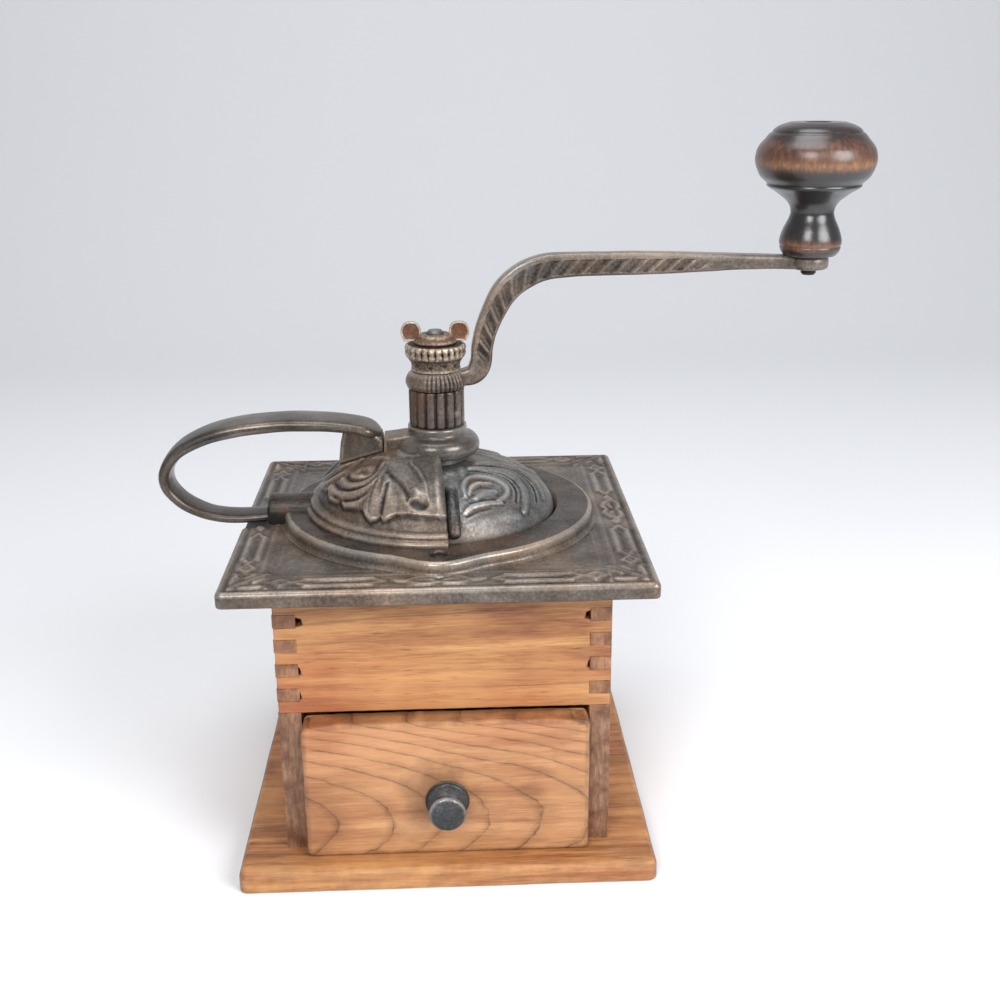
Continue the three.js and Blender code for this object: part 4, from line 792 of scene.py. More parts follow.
def drawer_knob():
    profile = evenly(curve(DRAWER_KNOB, 8), 110)
    rows, _ = turned(profile, 72)
    points = np.stack([rows[..., 0], DRAWER_FACE - 0.15 - rows[..., 2],
                       KNOB_HEIGHT + rows[..., 1]], -1)
    rim = hump(profile[:, :1], 7.8, 0.8) * (profile[:, 1:] > 8)
    return skin(cast(points, 0.10, 6.0, 21), worn=0.25 + 0.6 * rim)


build("drawer_knob_turned", [drawer_knob()], knob_iron, "drawer", ["drawer_knob"])

# %% [markdown]
# ## Top plate
# A square casting with a turned-down rim. Its border is divided into long panels with pointed
# ends, lozenges beside the corners and a small leaf in the middle of each side. The rows of the
# grid are squares that grow outwards, then roll over the rim and come back under it to the round
# opening. The border is drawn once, in one eighth of the square, and folded onto the rest.

# %% Border strokes: (how far along the side from its middle, how far in from the edge)
def path(*knots):
    """Straight runs between corners, as a dense line."""
    return evenly(np.array(knots, float), 60)


BORDER = [
    (path((0, 3.7), (85.3, 3.7)), 1.5, -0.55, 0.0),
    (path((27, 6.4), (54, 6.4)), 2.1, 0.75, 0.1),
    (path((27, 12.6), (54, 12.6)), 2.5, 0.85, 0.1),
    (path((29, 6.4), (22, 9.4), (29, 12.6)), 2.0, 0.6, 0.0),
    (path((52, 6.4), (59, 9.5), (52, 12.6)), 2.0, 0.6, 0.0),
    (path((31, 9.5), (50, 9.5)), 1.9, -0.35, 0.6),
    (path((59.5, 9.5), (63.5, 12.6), (67.5, 9.5), (63.5, 6.3), (59.5, 9.5)), 1.9, 0.7, 0.0),
    (path((62.5, 9.4), (64.5, 9.4)), 2.4, 0.55, 0.0),
    (path((69.6, 19.4), (84.4, 4.6)), 2.6, 0.7, 0.3),
    (path((71.0, 6.4), (80.0, 5.4)), 2.6, 0.75, 0.7),
    (path((70.8, 14.0), (74.6, 11.0)), 2.6, 0.8, 0.5),
    (path((69.4, 4.9), (69.4, 15.6)), 1.3, 0.4, 0.0),
    (curve([(0.0, 11.8), (4.5, 12.9), (9.5, 11.2), (13.5, 8.4), (19.0, 9.4)]), 2.6, 0.8, 0.7),
    (curve([(0.0, 7.0), (5.0, 5.8), (10.0, 6.6), (15.0, 9.9), (19.0, 9.4)]), 2.3, 0.7, 0.7),
    (curve([(2.0, 9.3), (6.5, 10.2), (11.0, 8.7)]), 2.0, 0.6, 0.6),
    (path((0, 16.4), (71.8, 16.4)), 1.3, 0.35, 0.0),
    (path((0, 22.4), (66.2, 22.4)), 0.8, 0.32, 0.0),
]
print("border strokes:", len(BORDER))

# %% Top plate
CORE = PLATE_HALF - 3.0
FIELD_ROUND, FIELD_SQUARE = 58.0, 65.2
RIM_LOW = PLATE_LOW + 3.2
UNDERSIDE = [(PLATE_HALF, PLATE_TOP - 4.0), (PLATE_HALF, PLATE_LOW + 0.6),
             (PLATE_HALF - 0.2, PLATE_LOW + 0.15), (PLATE_HALF - 0.7, PLATE_LOW),
             (PLATE_HALF - 4.5, PLATE_LOW), (PLATE_HALF - 4.6, RIM_LOW), (73.0, RIM_LOW),
             (72.9, PLATE_LOW)]


def plate_columns(per_side=216, per_corner=5):
    """Points once round a square of half width CORE, and the way outwards from each: straight
    out along the sides, and turning through a quarter at each corner."""
    run = np.linspace(-CORE, CORE, per_side + 1)
    bend = quarter(per_corner + 2)[1:-1]
    side = np.column_stack([run, np.full_like(run, -CORE)])
    place = np.concatenate([side, np.tile([[CORE, -CORE]], (per_corner, 1))])
    way = np.concatenate([np.tile([[0.0, -1.0]], (per_side + 1, 1)),
                          np.column_stack([np.sin(bend), -np.cos(bend)])])
    turns = [np.array([[math.cos(a), math.sin(a)], [-math.sin(a), math.cos(a)]])
             for a in (k * TURN / 4 for k in range(4))]
    return (np.concatenate([place @ turn for turn in turns]),
            np.concatenate([way @ turn for turn in turns]))


def in_notch(points, margin):
    """Whether a point lies in the notch where the handle's lower end crosses the rim."""
    return (points[..., 0] < -76.0 + margin) & (np.abs(points[..., 1]) < 13.0 + margin)


def plate_skin():
    places, ways = plate_columns()
    spoke = places / np.linalg.norm(places, axis=1, keepdims=True)

    def square(half):
        return places * (min(half, CORE) / CORE) + ways * max(half - CORE, 0)

    layers = [(OPENING * spoke, PLATE_LOW), (OPENING * spoke, PLATE_TOP - 0.6),
              ((OPENING + 3) * spoke, PLATE_TOP - 0.6)]
    first_top = len(layers)
    layers += [((1 - share) * FIELD_ROUND * spoke + share * square(FIELD_SQUARE), PLATE_TOP)
               for share in np.linspace(0, 1, 26)[:-1]]
    layers += [(square(half), PLATE_TOP) for half in np.linspace(FIELD_SQUARE, PLATE_HALF - 2.4, 48)]
    last_top = len(layers)
    layers += [(square(PLATE_HALF - PLATE_ROUND * (1 - math.sin(t))),
                PLATE_TOP - PLATE_ROUND * (1 - math.cos(t))) for t in quarter(8, 0.12)]
    last_upper = len(layers) + 1
    layers += [(square(half), height) for half, height in UNDERSIDE]
    points = np.array([np.column_stack([row, np.full(len(row), height)])
                       for row, height in layers])

    top = slice(first_top, last_top)
    flat = np.abs(points[top, :, :2])
    folded = np.stack([flat.min(-1), PLATE_HALF - flat.max(-1)], -1)
    raised = relief(folded, BORDER)
    points[top, :, 2] += raised - 0.5 * eased((folded[..., 1] - 17.5) / 2.5)
    points[top, :, 2] += 0.10 * uneven(points[top], 16.0, 31)
    worn = np.full(points.shape[:2], 0.38)
    worn[top] += 0.5 * np.clip(rubbed(raised, 4), -0.4, 0.5) + 0.10 * raised
    worn[last_top:last_top + 7] = 0.62
    worn[last_top + 7:] = 0.34

    height = points[..., 2]
    notch = in_notch(points, 0.0)
    notch[:first_top] = False
    notch[last_upper:] = False
    height[notch] = np.minimum(height[notch], PLATE_TOP - 4.2)
    # The notch under the handle's strap is painted dark, as painted shade.
    worn[notch] = 0.1
    below = in_notch(points, 5.0)
    below[:last_upper] = False
    height[below] = PLATE_LOW
    return skin(points, ring=True, worn=worn)


build("top_plate_cast", [plate_skin()], cast_iron, "housing", ["top_plate"],
      shift=SHAFT_X, crease=60)

# %% [markdown]
# ## Raised ring
# Round the hopper runs a raised ring with a point at the front and the back, each with the pit of
# a screw. Its outer wall meets the plate in a small hollow, and that wall is rubbed paler than
# the ring's flat top.

# %% Raised ring
PIT_PLACE, PIT_RADIUS, PIT_DEPTH = 66.0, 3.9, 2.0


def ring_reach(azimuth):
    """A circle that swells by a cosine hump of 6 mm within 19 degrees of the front and back."""
    away = np.minimum(np.abs(np.abs(azimuth) - 90) / 19.0, 1)
    return RING_REACH + 6.0 * (0.5 + 0.5 * np.cos(away * math.pi))


def ring_skin():
    azimuth = np.linspace(-180, 180, 760, endpoint=False)
    reach = ring_reach(azimuth)
    layers = [(OPENING + 0 * reach, PLATE_TOP - 1.5), (OPENING + 0 * reach, RING_TOP - 0.5),
              (OPENING + 0.15 + 0 * reach, RING_TOP - 0.15)]
    layers += [(OPENING + 0.5 + share * (reach - 2.1 - OPENING - 0.5), RING_TOP)
               for share in np.linspace(0, 1, 36)]
    last_flat = len(layers)
    layers += [(reach - 2.1 * (1 - math.sin(t)), RING_TOP - 1.9 * (1 - math.cos(t)))
               for t in quarter(6, 0.15)]
    layers += [(reach + 0.1, PLATE_TOP + 2.2)]
    layers += [(reach + 0.15 + 1.9 * (1 - math.cos(t)), PLATE_TOP + 1.75 - 1.9 * math.sin(t))
               for t in quarter(5)]
    layers += [(reach + 2.0, PLATE_TOP - 1.5)]
    radius, height = (np.array(part) for part in zip(*layers))
    points = about_z(radius, np.radians(azimuth), height[:, None])
    flat = points[2:last_flat + 1]
    for side in (-1, 1):
        away = np.hypot(flat[..., 0], flat[..., 1] - side * PIT_PLACE)
        flat[..., 2] -= PIT_DEPTH * eased((PIT_RADIUS - away) / 0.7)
        flat[..., 2] += 0.22 * hump(away, PIT_RADIUS + 0.9, 0.8)
    flat[..., 2] += 0.07 * uneven(flat, 12.0, 41)
    worn = np.full(points.shape[:2], 0.17)
    # The rounded outer edge is paler from wear all round, and paler still toward the front point as a
    # painted highlight.
    worn[last_flat:last_flat + 6] = 0.66 + 0.1 * np.cos(np.radians(azimuth + 90))
    worn[last_flat + 4:last_flat + 6] = 0.66
    worn[last_flat + 6:] = 0.38
    worn[:2] = 0.3 + 0.75 * eased((58 - np.abs(azimuth + 22)) / 20)
    return skin(points, ring=True, worn=worn)


build("plate_ring", [ring_skin()], cast_iron, "housing", shift=SHAFT_X, crease=50)

# %% [markdown]
# ## Fixed half of the hopper
# Half a dome with a foot moulding, leaf ornament, a rounded cut edge, the tube the door turns on,
# and the seats of the handle. The shell's section, up the outside and down the inside, is carried
# round the shaft from the back to the front, and the strokes push its outside outwards. The
# leaves are drawn for the front and mirrored for the back. The boss that carries the crank is a
# piece of its own, because its iron has been turned smooth.

# %% Ornament of the fixed half: (azimuth, lift) in degrees, width, height, taper
DOME_LEAVES = [
    ([(-90.5, 74), (-90.8, 60), (-90.4, 44), (-89.2, 27), (-88, 12)], 2.8, 0.50, 0.0),
    ([(-138, 58), (-124, 55), (-110, 49), (-99, 39)], 7.0, 0.55, 0.5),
    ([(-134, 54), (-129, 40), (-125, 27), (-122, 17)], 5.6, 0.70, 0.5),
    ([(-127, 50), (-119, 38), (-115, 28), (-113.5, 19)], 5.2, 0.55, 0.5),
    ([(-117, 63), (-105, 56), (-98, 46), (-94.5, 33)], 1.7, 0.35, 0.7),
    ([(-134, 60), (-118, 59), (-107, 52), (-101, 45)], 1.6, 0.30, 0.7),
    ([(-130, 52), (-117, 47), (-108, 39), (-106, 33)], 1.8, -0.40, 0.8),
    ([(-103, 42), (-101, 39)], 4.2, 0.85, 0.0),
    ([(-102, 32), (-97.5, 30)], 3.6, -0.95, 0.2),
    ([(-122, 44), (-119, 32), (-117.5, 22)], 2.0, -0.75, 0.6),
    ([(-131, 46), (-127, 33), (-124, 22)], 1.2, -0.30, 0.6),
    ([(-146, 50), (-151, 47), (-150, 42), (-145, 43)], 4.4, 0.75, 0.0),
    ([(-141, 58), (-135, 49), (-138, 40), (-147, 35), (-157, 36)], 3.4, 0.75, 0.6),
    ([(-137, 51), (-140, 43.5), (-148, 39), (-156, 40)], 1.6, -0.55, 0.6),
    ([(-131, 47), (-133, 37), (-140, 30), (-150, 27), (-161, 27)], 3.8, 0.80, 0.6),
    ([(-134, 40), (-141, 33.5), (-150, 30), (-159, 31)], 1.5, -0.60, 0.6),
    ([(-129, 33), (-134, 25), (-143, 21.5), (-153, 21)], 3.2, 0.65, 0.6),
    ([(-133, 29), (-141, 24.5), (-151, 23.5)], 1.3, -0.50, 0.7),
    ([(-159, 57), (-151, 61), (-142, 61)], 3.0, 0.50, 0.7),
    ([(-167, 52), (-163, 42), (-165, 32), (-170, 24)], 3.8, 0.70, 0.6),
    ([(-178, 46), (-175, 36), (-178, 26)], 3.2, 0.55, 0.6),
    ([(-171, 47), (-169.5, 37), (-172, 27)], 1.4, -0.40, 0.6),
    ([(-156, 71), (-138, 68), (-122, 69), (-106, 73)], 2.4, 0.40, 0.4),
]
DOME_HEM = [(0, 19), (8, 17), (14, 20), (19, 22), (25, 18), (32, 20), (36, 22), (40, 18.5),
            (47, 20), (52, 21), (55, 16.5), (58, 14), (61, 15.5), (62.5, 18), (64.5, 15.5),
            (67, 18), (70, 21), (76, 22), (96, 20)]
print("strokes on the fixed half:", len(DOME_LEAVES))

# %% Shell of the fixed half
FOOT = curve([(60.4, 144.2), (60.55, 145.0), (60.35, 146.1), (59.7, 146.8), (59.0, 147.0),
              (58.55, 147.5), (58.5, 148.3), (58.1, 149.1), (57.2, 149.6), (56.2, 150.0)], 3)
SHELL_START, SHELL_END = 90, 274


def edge_drop(away, radius):
    """How far a rounded edge has fallen at a distance from it: radius - sqrt(radius^2 - gap^2)."""
    gap = np.clip(radius - away, 0, radius)
    return radius - np.sqrt(radius ** 2 - gap ** 2)


def dome_shell():
    azimuth = np.linspace(SHELL_START, SHELL_END, 384)[:, None]
    lifts = np.linspace(11.6, 80, 120)[None, :]
    laid = on_hull(DOME_LEAVES, DOME, DOME_RISE, RING_TOP, mirror=2)
    start = hull(azimuth, lifts, DOME, DOME_RISE, RING_TOP)
    hem = np.interp(np.abs(azimuth - 180), *np.array(DOME_HEM, float).T)
    raised = 0.95 * eased((lifts - hem) / 3.4) + relief(start, laid) * eased((lifts - hem + 1.5) / 3)
    raised = raised + 0.14 * uneven(start, 13.0, 51) + 0.05 * uneven(start, 4.0, 52)
    from_edge = np.radians(np.minimum(azimuth - SHELL_START, SHELL_END - azimuth)) * DOME
    drop = edge_drop(from_edge * np.cos(np.radians(lifts)), 1.2)
    outside = hull(azimuth, lifts, DOME, DOME_RISE, RING_TOP, raised - drop)
    inside = hull(azimuth, np.linspace(80, 0, 14)[None, :], DOME - DOME_WALL,
                  DOME_RISE - DOME_WALL, RING_TOP)
    foot = about_z(FOOT[:, 0] - edge_drop(from_edge, 0.9), np.radians(azimuth), FOOT[:, 1])
    points = np.concatenate([foot, outside, inside], axis=1)
    worn = np.full(points.shape[:2], 0.2)
    count = len(FOOT)
    worn[:, :count] = 0.32 + 0.28 * hump(FOOT[:, 1], 146.3, 0.8) + 0.25 * hump(FOOT[:, 1], 149.2, 0.7)
    worn[:, count:count + raised.shape[1]] = 0.36 + 0.8 * np.clip(rubbed(raised), -0.4, 0.4) \
        + 0.10 * np.clip(raised - 0.9, -1, 1)
    return skin(points, worn=worn)


print("points in the foot moulding:", len(FOOT))

# %% Boss, bearing tube and the handle's seats
BOSS = [(BOSS_BORE, BOSS_LOW), (12.8, BOSS_LOW), (16.9, 169.1), (18.2, 169.8), (18.8, 171.4),
        (18.85, 173.2), (18.3, 175.1), (17.0, 176.7), (15.3, 177.5), (14.0, 178.0), (13.35, 178.7),
        (13.2, 179.5), (13.2, 181.2), (12.9, 181.75), (12.3, BOSS_TOP), (BOSS_BORE, BOSS_TOP)]
TUBE = [(TUBE_RADIUS, TUBE_LOW), (TUBE_RADIUS, 172.0), (BOSS_BORE, 172.0), (BOSS_BORE, TUBE_LOW)]
SEAT_HALF = 7.4
SOCKET_HALF, SOCKET_MIDDLE, SOCKET_RISE, SOCKET_ENDS = 10.0, 143.3, 6.6, (-77.6, -56.0)


def boss_skin():
    profile = evenly(curve(BOSS, 8), 120)
    rows, _ = turned(profile, 120)
    rows[..., :2] *= 1 + 0.003 * uneven(rows, 11.0, 61)[..., None]
    rim = hump(profile[:, 1:], BOSS_TOP - 0.4, 0.6) + 0.25 * eased((profile[:, :1] - 15) / 3)
    return skin(rows, ring=True, worn=0.42 + 0.3 * rim)


def upright(outline, half_width, edge):
    """An outline in (x, z) carried along Y through the middle, with rounded edges."""
    rows, worn = sawn(np.array(outline, float), -half_width, half_width, edge)
    return rows[..., [0, 2, 1]], worn


def pad_top(place):
    """The slope that carries the handle's foot, at a distance from the shaft."""
    return RING_TOP + 20.6 + 6.0 * (44.5 - place) / 20.5


def seat_skins():
    pad, worn = upright([
        (-45.0, 158.2), (-40.0, 161.2), (-34.0, 164.2), (-24.0, 167.4), (-10.0, 169.4),
        (-10.0, 178.0), (-14.5, 178.2), (-18.0, 177.6), (-23.9, 177.0), (-24.1, pad_top(24.0)),
        (-34.0, pad_top(34.0)), (-44.6, pad_top(44.6))], SEAT_HALF, 0.9)
    arch = np.radians(np.linspace(0, 180, 19))
    low_corners = [(side * SOCKET_HALF, PLATE_TOP + 0.15) for side in (-1, 1)]
    socket = np.concatenate([low_corners, np.stack(
        [SOCKET_HALF * np.cos(arch), SOCKET_MIDDLE + SOCKET_RISE * np.sin(arch)], 1)])
    rows, socket_worn = sawn(socket, *SOCKET_ENDS, 1.9, 6)
    # The whole socket is painted 0.22 darker as painted shade, and the upper part of its arch 0.36
    # paler again.
    socket_shade_and_pale_top = 0.36 * socket_worn * (rows[..., 1] > 146) - 0.22
    return [skin(pad, worn=0.3 + 0.2 * worn), skin(rows[..., [2, 0, 1]], worn=socket_shade_and_pale_top)]


tube = skin(turned(TUBE, 48)[0], ring=True, worn=0.2)
build("hopper_dome_cast", [dome_shell(), tube, *seat_skins()], cast_iron, "housing",
      ["hopper_dome"], shift=SHAFT_X, crease=45)
build("bearing_boss", [boss_skin()], smooth_iron, "housing", shift=SHAFT_X, crease=45)

# %% [markdown]
# ## Swinging half of the hopper
# The door is a slightly smaller half dome that turns about the bearing tube and slips inside the
# fixed half. A large scroll fills its front, a rib near its edge gives the thumb a hold, and its
# hub stays hidden under the boss. Its relief is low, so that it clears the fixed shell. The bare
# strokes raise nothing: they mark where the iron is rubbed most.

# %% Ornament of the door
DOOR_LEAVES = [
    ([(-72, 44), (-70, 53), (-62, 59), (-50, 59), (-40, 53), (-38, 45), (-44, 38), (-53, 35)],
     2.5, 0.85, 0.4),
    ([(-69, 45), (-64, 51), (-56, 53), (-47, 50)], 2.1, 0.60, 0.7),
    ([(-66, 48), (-58, 49.5), (-50, 47)], 1.0, -0.50, 0.6),
    ([(-66, 41), (-58, 44), (-50, 43)], 3.0, 0.70, 0.5),
    ([(-71, 38), (-62, 39), (-53, 38)], 1.1, -0.55, 0.6),
    ([(-76, 30), (-70, 35), (-61, 35.5), (-52, 33)], 2.4, 0.75, 0.6),
    ([(-75, 27), (-68, 30.5), (-60, 31)], 1.2, -0.55, 0.6),
    ([(-76, 21), (-66, 25), (-56, 25), (-47, 18)], 6.0, 0.60, 0.5),
    ([(-50, 66), (-37, 61), (-29, 51), (-32, 41), (-42, 30)], 1.6, -0.60, 0.4),
    ([(-44, 68), (-29, 62), (-21, 51), (-25, 40), (-36, 27), (-41, 20)], 3.6, 0.70, 0.5),
    ([(-32, 60), (-25, 50), (-30, 39), (-39, 29)], 1.0, -0.35, 0.6),
    ([(-31, 67), (-15, 60), (-9, 49), (-15, 36), (-27, 22)], 1.4, -0.55, 0.4),
    ([(-24, 69), (-8, 61), (-1, 49), (-7, 35), (-18, 21)], 3.8, 0.55, 0.5),
    ([(-12, 56), (-7, 47), (-12, 35)], 1.0, -0.30, 0.6),
]
DOOR_BARE = [
    ([(-86, 62), (-78, 66), (-70, 65)], 3.2, 1.0, 0.6),
    ([(-66, 60), (-60, 66), (-54, 71)], 2.4, 1.0, 0.7),
    ([(-70, 46), (-64, 51.5), (-55, 53), (-48, 51)], 1.5, 0.9, 0.7),
    ([(-76, 29), (-70, 34), (-62, 35)], 1.3, 0.8, 0.7),
    ([(-81, 44), (-80, 28), (-81, 16)], 1.3, 0.8, 0.5),
]
print("strokes on the door:", len(DOOR_LEAVES), "and rubbed:", len(DOOR_BARE))

RIB_AZIMUTH, RIB_LIFTS, RIB_OUT, RIB_ACROSS = -86, (9, 52), 1.6, 3.1


def door_shell():
    azimuth = np.linspace(-94, 98, 385)[:, None]
    lifts = np.linspace(1.0, 77, 116)[None, :]
    laid = on_hull(DOOR_LEAVES, DOOR, DOOR_RISE, DOOR_BASE, mirror=2)
    start = hull(azimuth, lifts, DOOR, DOOR_RISE, DOOR_BASE)
    raised = relief(start, laid) * eased((lifts - 7) / 9)
    raised = raised + 0.12 * uneven(start, 14.0, 71) * eased((lifts - 4) / 8)
    outside = hull(azimuth, lifts, DOOR, DOOR_RISE, DOOR_BASE, raised)
    inside = hull(azimuth, np.linspace(77, 0, 14)[None, :], DOOR - DOOR_WALL,
                  DOOR_RISE - DOOR_WALL, DOOR_BASE)
    rim = hull(azimuth, np.array([[0.0]]), DOOR - 0.25, DOOR_RISE, DOOR_BASE)
    points = np.concatenate([rim, outside, inside], axis=1)
    bare = relief(start, on_hull(DOOR_BARE, DOOR, DOOR_RISE, DOOR_BASE))
    worn = np.full(points.shape[:2], 0.3)
    worn[:, 1:1 + lifts.shape[1]] = 0.38 + 1.0 * np.clip(rubbed(raised, 4), -0.35, 0.4) \
        + 0.55 * bare * (0.7 + 0.5 * uneven(start, 3.0, 72))
    return skin(points, worn=worn)


def thumb_rib():
    """A rounded bar that follows the shell upwards, its ends closed by a half round."""
    t = np.radians(np.linspace(*RIB_LIFTS, 90))
    line = np.stack([(DOOR + RIB_OUT) * np.cos(t), DOOR_BASE + (DOOR_RISE + RIB_OUT) * np.sin(t)], 1)
    length = np.linspace(0, 1, 90)
    gap = np.clip(1 - np.minimum(length, 1 - length) / 0.09, 0, 0.999)
    taper = np.sqrt(1 - gap ** 2)
    rows, _, _ = swept(line, 2.7 * taper, 3.5 * taper, 2.4, [3, 5, 3, 5])
    x, y, z = rows[..., 0], rows[..., 1] + RIB_ACROSS, rows[..., 2]
    cosine, sine = math.cos(math.radians(RIB_AZIMUTH)), math.sin(math.radians(RIB_AZIMUTH))
    rows = np.stack([x * cosine - y * sine, x * sine + y * cosine, z], -1)
    # The rib is painted nearly black, as painted shade, and paler toward its upper end.
    return skin(rows, worn=0.05 + 0.5 * eased((length - 0.8) / 0.15)[:, None])


hub, _ = turned([(HUB_BORE, HUB_LOW), (12.5, HUB_LOW), (12.5, HUB_TOP - 0.3), (12.2, HUB_TOP),
                 (HUB_BORE, HUB_TOP)], 64)
build("hopper_door_cast", [door_shell(), thumb_rib(), skin(hub, ring=True, worn=0.3)], door_iron,
      "door", ["hopper_door"], shift=SHAFT_X, crease=45)

# %% [markdown]
# ## Side handle
# A flat iron strap bent into a loop. It is widest along the top, where the hand lies, and narrows
# to the end that slips into its socket. A rounded section with a slight crown is carried along
# the same middle line as the solid.

# %% Side handle
GRIP_LINE = np.array([
    (0.2, 0.84), (0.265, 0.93), (0.37, 0.98), (0.5, 1), (0.61, 0.985), (0.72, 0.945),
    (0.82, 0.865), (0.915, 0.72), (0.965, 0.52), (0.967, 0.34), (0.928, 0.18), (0.874, 0.07),
    (0.81, 0), (0.712, -0.03), (0.6, 0)])
GRIP_DEPTH = [0.95, 1, 1.05, 1.1, 1.15, 1.1, 1, 0.9, 0.85, 0.83, 0.82]
GRIP_THICK, GRIP_REACH, GRIP_RISE, GRIP_END = 2.8, 126.4, 42.8, -70.6
GRIP_LOW = 139.2 + GRIP_THICK * GRIP_DEPTH[-1]
GRIP_POINTS = 260


def grip_skins():
    knots = GRIP_LINE * (-GRIP_REACH, GRIP_RISE) + (0, GRIP_LOW)
    knots[-1, 0] = GRIP_END
    line = evenly(curve(knots, 16), GRIP_POINTS)
    share = np.linspace(0, 1, GRIP_POINTS)
    depth = GRIP_THICK * np.interp(share, np.linspace(0, 1, len(GRIP_DEPTH)), GRIP_DEPTH)
    width = 14.5 + 6.5 * np.clip((line[:, 1] - GRIP_LOW) / 42.0, 0, 1)
    tongue = np.sqrt(1 - np.clip(1 - share / 0.045, 0, 0.93) ** 2)
    rows, up, _ = swept(line, 0.5 * width * tongue, depth * (0.55 + 0.45 * tongue), 2.1,
                        [14, 4, 14, 4], crown=0.7)
    rows = cast(rows, 0.10, 18.0, 81)
    outer = eased((up - 0.1) / 0.7)
    worn = 0.34 + 0.26 * outer * eased((line[:, 1:] - 150) / 25) + 0.08 * uneven(rows, 30.0, 82)
    foot, foot_worn = upright([
        (-44.4, pad_top(44.4) + 0.35), (-24.4, pad_top(24.4) + 0.35), (-24.4, 176.4),
        (-29.6, 180.9), (-41.7, 181.6), (-43.2, 175.4)], SEAT_HALF, 1.3)
    return [skin(rows, worn=worn), skin(foot, worn=0.22 + 0.3 * foot_worn)]


build("grip_handle_cast", grip_skins(), smooth_iron, "housing", ["grip_handle"],
      shift=SHAFT_X, crease=50)

# %% [markdown]
# ## Crank
# The arm has an S shape: out of an eye round the shaft, steeply up, then level to the knob. Both
# its faces have a smooth upper border and below it a sunken band of slanting leaves, which fade
# out before the tip. The leaves are waves along the arm whose crests lean, cut into the side
# faces of the swept section.

# %% Crank arm
ARM_LINE = np.array([
    (0.055, 0), (0.1, 0.03), (0.121, 0.13), (0.126, 0.28), (0.136, 0.43), (0.157, 0.6),
    (0.186, 0.77), (0.229, 0.9), (0.287, 0.985), (0.36, 1.01), (0.5, 1.015), (0.65, 1.015),
    (0.8, 1.015), (0.9, 1.01), (0.97, 1)])
ARM_DEPTH = [0.64, 0.95, 0.96, 1.02, 1.14, 1.18, 1.1, 1.03, 1, 1, 0.94, 0.86, 0.76, 0.66, 0.62, 0.6]
ARM_HALF_WIDE, ARM_HALF_DEEP, ARM_POINTS = 4.0, 4.9, 440
LEAF_STEP, LEAF_LEAN, LEAVES_START, LEAVES_END = 7.4, 0.66, 12, 150
EYE = [(EYE_BORE, EYE_LOW), (11.9, EYE_LOW), (13.1, EYE_LOW + 0.8), (13.6, EYE_LOW + 2.2),
       (13.55, EYE_LOW + 3.6), (13.1, EYE_LOW + 5.0), (12.2, EYE_LOW + 6.5),
       (11.2, EYE_TOP - 0.2), (10.3, EYE_TOP), (EYE_BORE, EYE_TOP)]
TIP = [(PIN_BORE, TIP_LOW), (6.9, TIP_LOW), (8.1, 249.6), (8.4, 251.0), (8.4, 252.8),
       (7.9, 254.2), (6.9, TIP_TOP), (PIN_BORE, TIP_TOP)]


def leaf_cut(distance, up):
    """Depth of the sunken band less its leaning crests: crest = ((1 + cos phase) / 2)^3, where
    phase counts leaves along the arm and leans with the height on its face."""
    band = eased((0.5 - up) / 0.16) * eased((up + 0.94) / 0.12)
    phase = TURN * (distance / LEAF_STEP - LEAF_LEAN * up)
    crest = (0.5 + 0.5 * np.cos(phase)) ** 3
    vein = 0.5 * (0.5 + 0.5 * np.cos(phase - 2.0)) ** 4
    return band * (0.95 - 0.85 * np.maximum(crest, vein))


def arm_skin():
    dense = curve(ARM_LINE * (CRANK_REACH, CRANK_RISE) + (0, (EYE_LOW + EYE_TOP) / 2), 16)
    line = evenly(dense, ARM_POINTS)
    length = float(np.sum(np.linalg.norm(np.diff(dense, axis=0), axis=1)))
    share = np.linspace(0, 1, ARM_POINTS)
    depth = ARM_HALF_DEEP * np.interp(share, np.linspace(0, 1, len(ARM_DEPTH)), ARM_DEPTH)
    rows, up, side_face = swept(line, ARM_HALF_WIDE, depth, 1.7, [4, 30, 4, 30])
    distance = share[:, None] * length
    fade = eased((distance - LEAVES_START) / 8) * eased((LEAVES_END - distance) / 26)
    cut = leaf_cut(distance, up) * fade * side_face
    rows[..., 1] -= np.sign(rows[..., 1]) * cut
    worn = 0.40 + 0.2 * eased(up / 0.8) + 0.25 * hump(up, -0.97, 0.07) - 0.32 * cut
    worn = np.where(side_face | (up > -0.9), worn, 0.12)
    return skin(cast(rows, 0.06, 9.0, 91), worn=worn)


def eye_skin():
    profile = evenly(curve(EYE, 6), 90)
    rows, angle = turned(profile, 240)
    away = np.abs(np.degrees((angle + math.pi) % TURN - math.pi))
    hatched = eased((118 - away) / 14) * eased((away - 4) / 10)
    groove = (0.5 + 0.5 * np.cos(angle * 40)) ** 2 * hatched
    groove = groove * eased((profile[:, :1] - 10) / 2)
    rows[..., :2] *= 1 - (0.42 * groove / np.maximum(profile[:, :1], 1))[..., None]
    top = eased((profile[:, 1:] - EYE_TOP + 2.2) / 1.6)
    return skin(cast(rows, 0.08, 7.0, 92), ring=True, worn=0.42 + 0.3 * top - 0.35 * groove)


def tip_skin():
    rows, _ = turned(evenly(curve(TIP, 6), 50), 72)
    return skin(rows + (CRANK_REACH, 0, 0), ring=True, worn=0.5)


build("crank_arm_cast", [arm_skin(), eye_skin(), tip_skin()], cast_iron, "crank",
      ["crank_arm"], shift=SHAFT_X, crease=50)

# %% [markdown]
# ## Fluted sleeve, collar and wing nut
# Between the boss and the crank sits a sleeve with sixteen flat ribs. Above the crank's eye come
# the beaded collar, which sets the grind, and the eared nut that locks it. Ribs and beads are
# waves of the radius round the shaft, sharpened by powers of a cosine.

# %% Fluted sleeve
RIBS, DENT_AZIMUTH, DENT_UP = 16, 318, 6.0


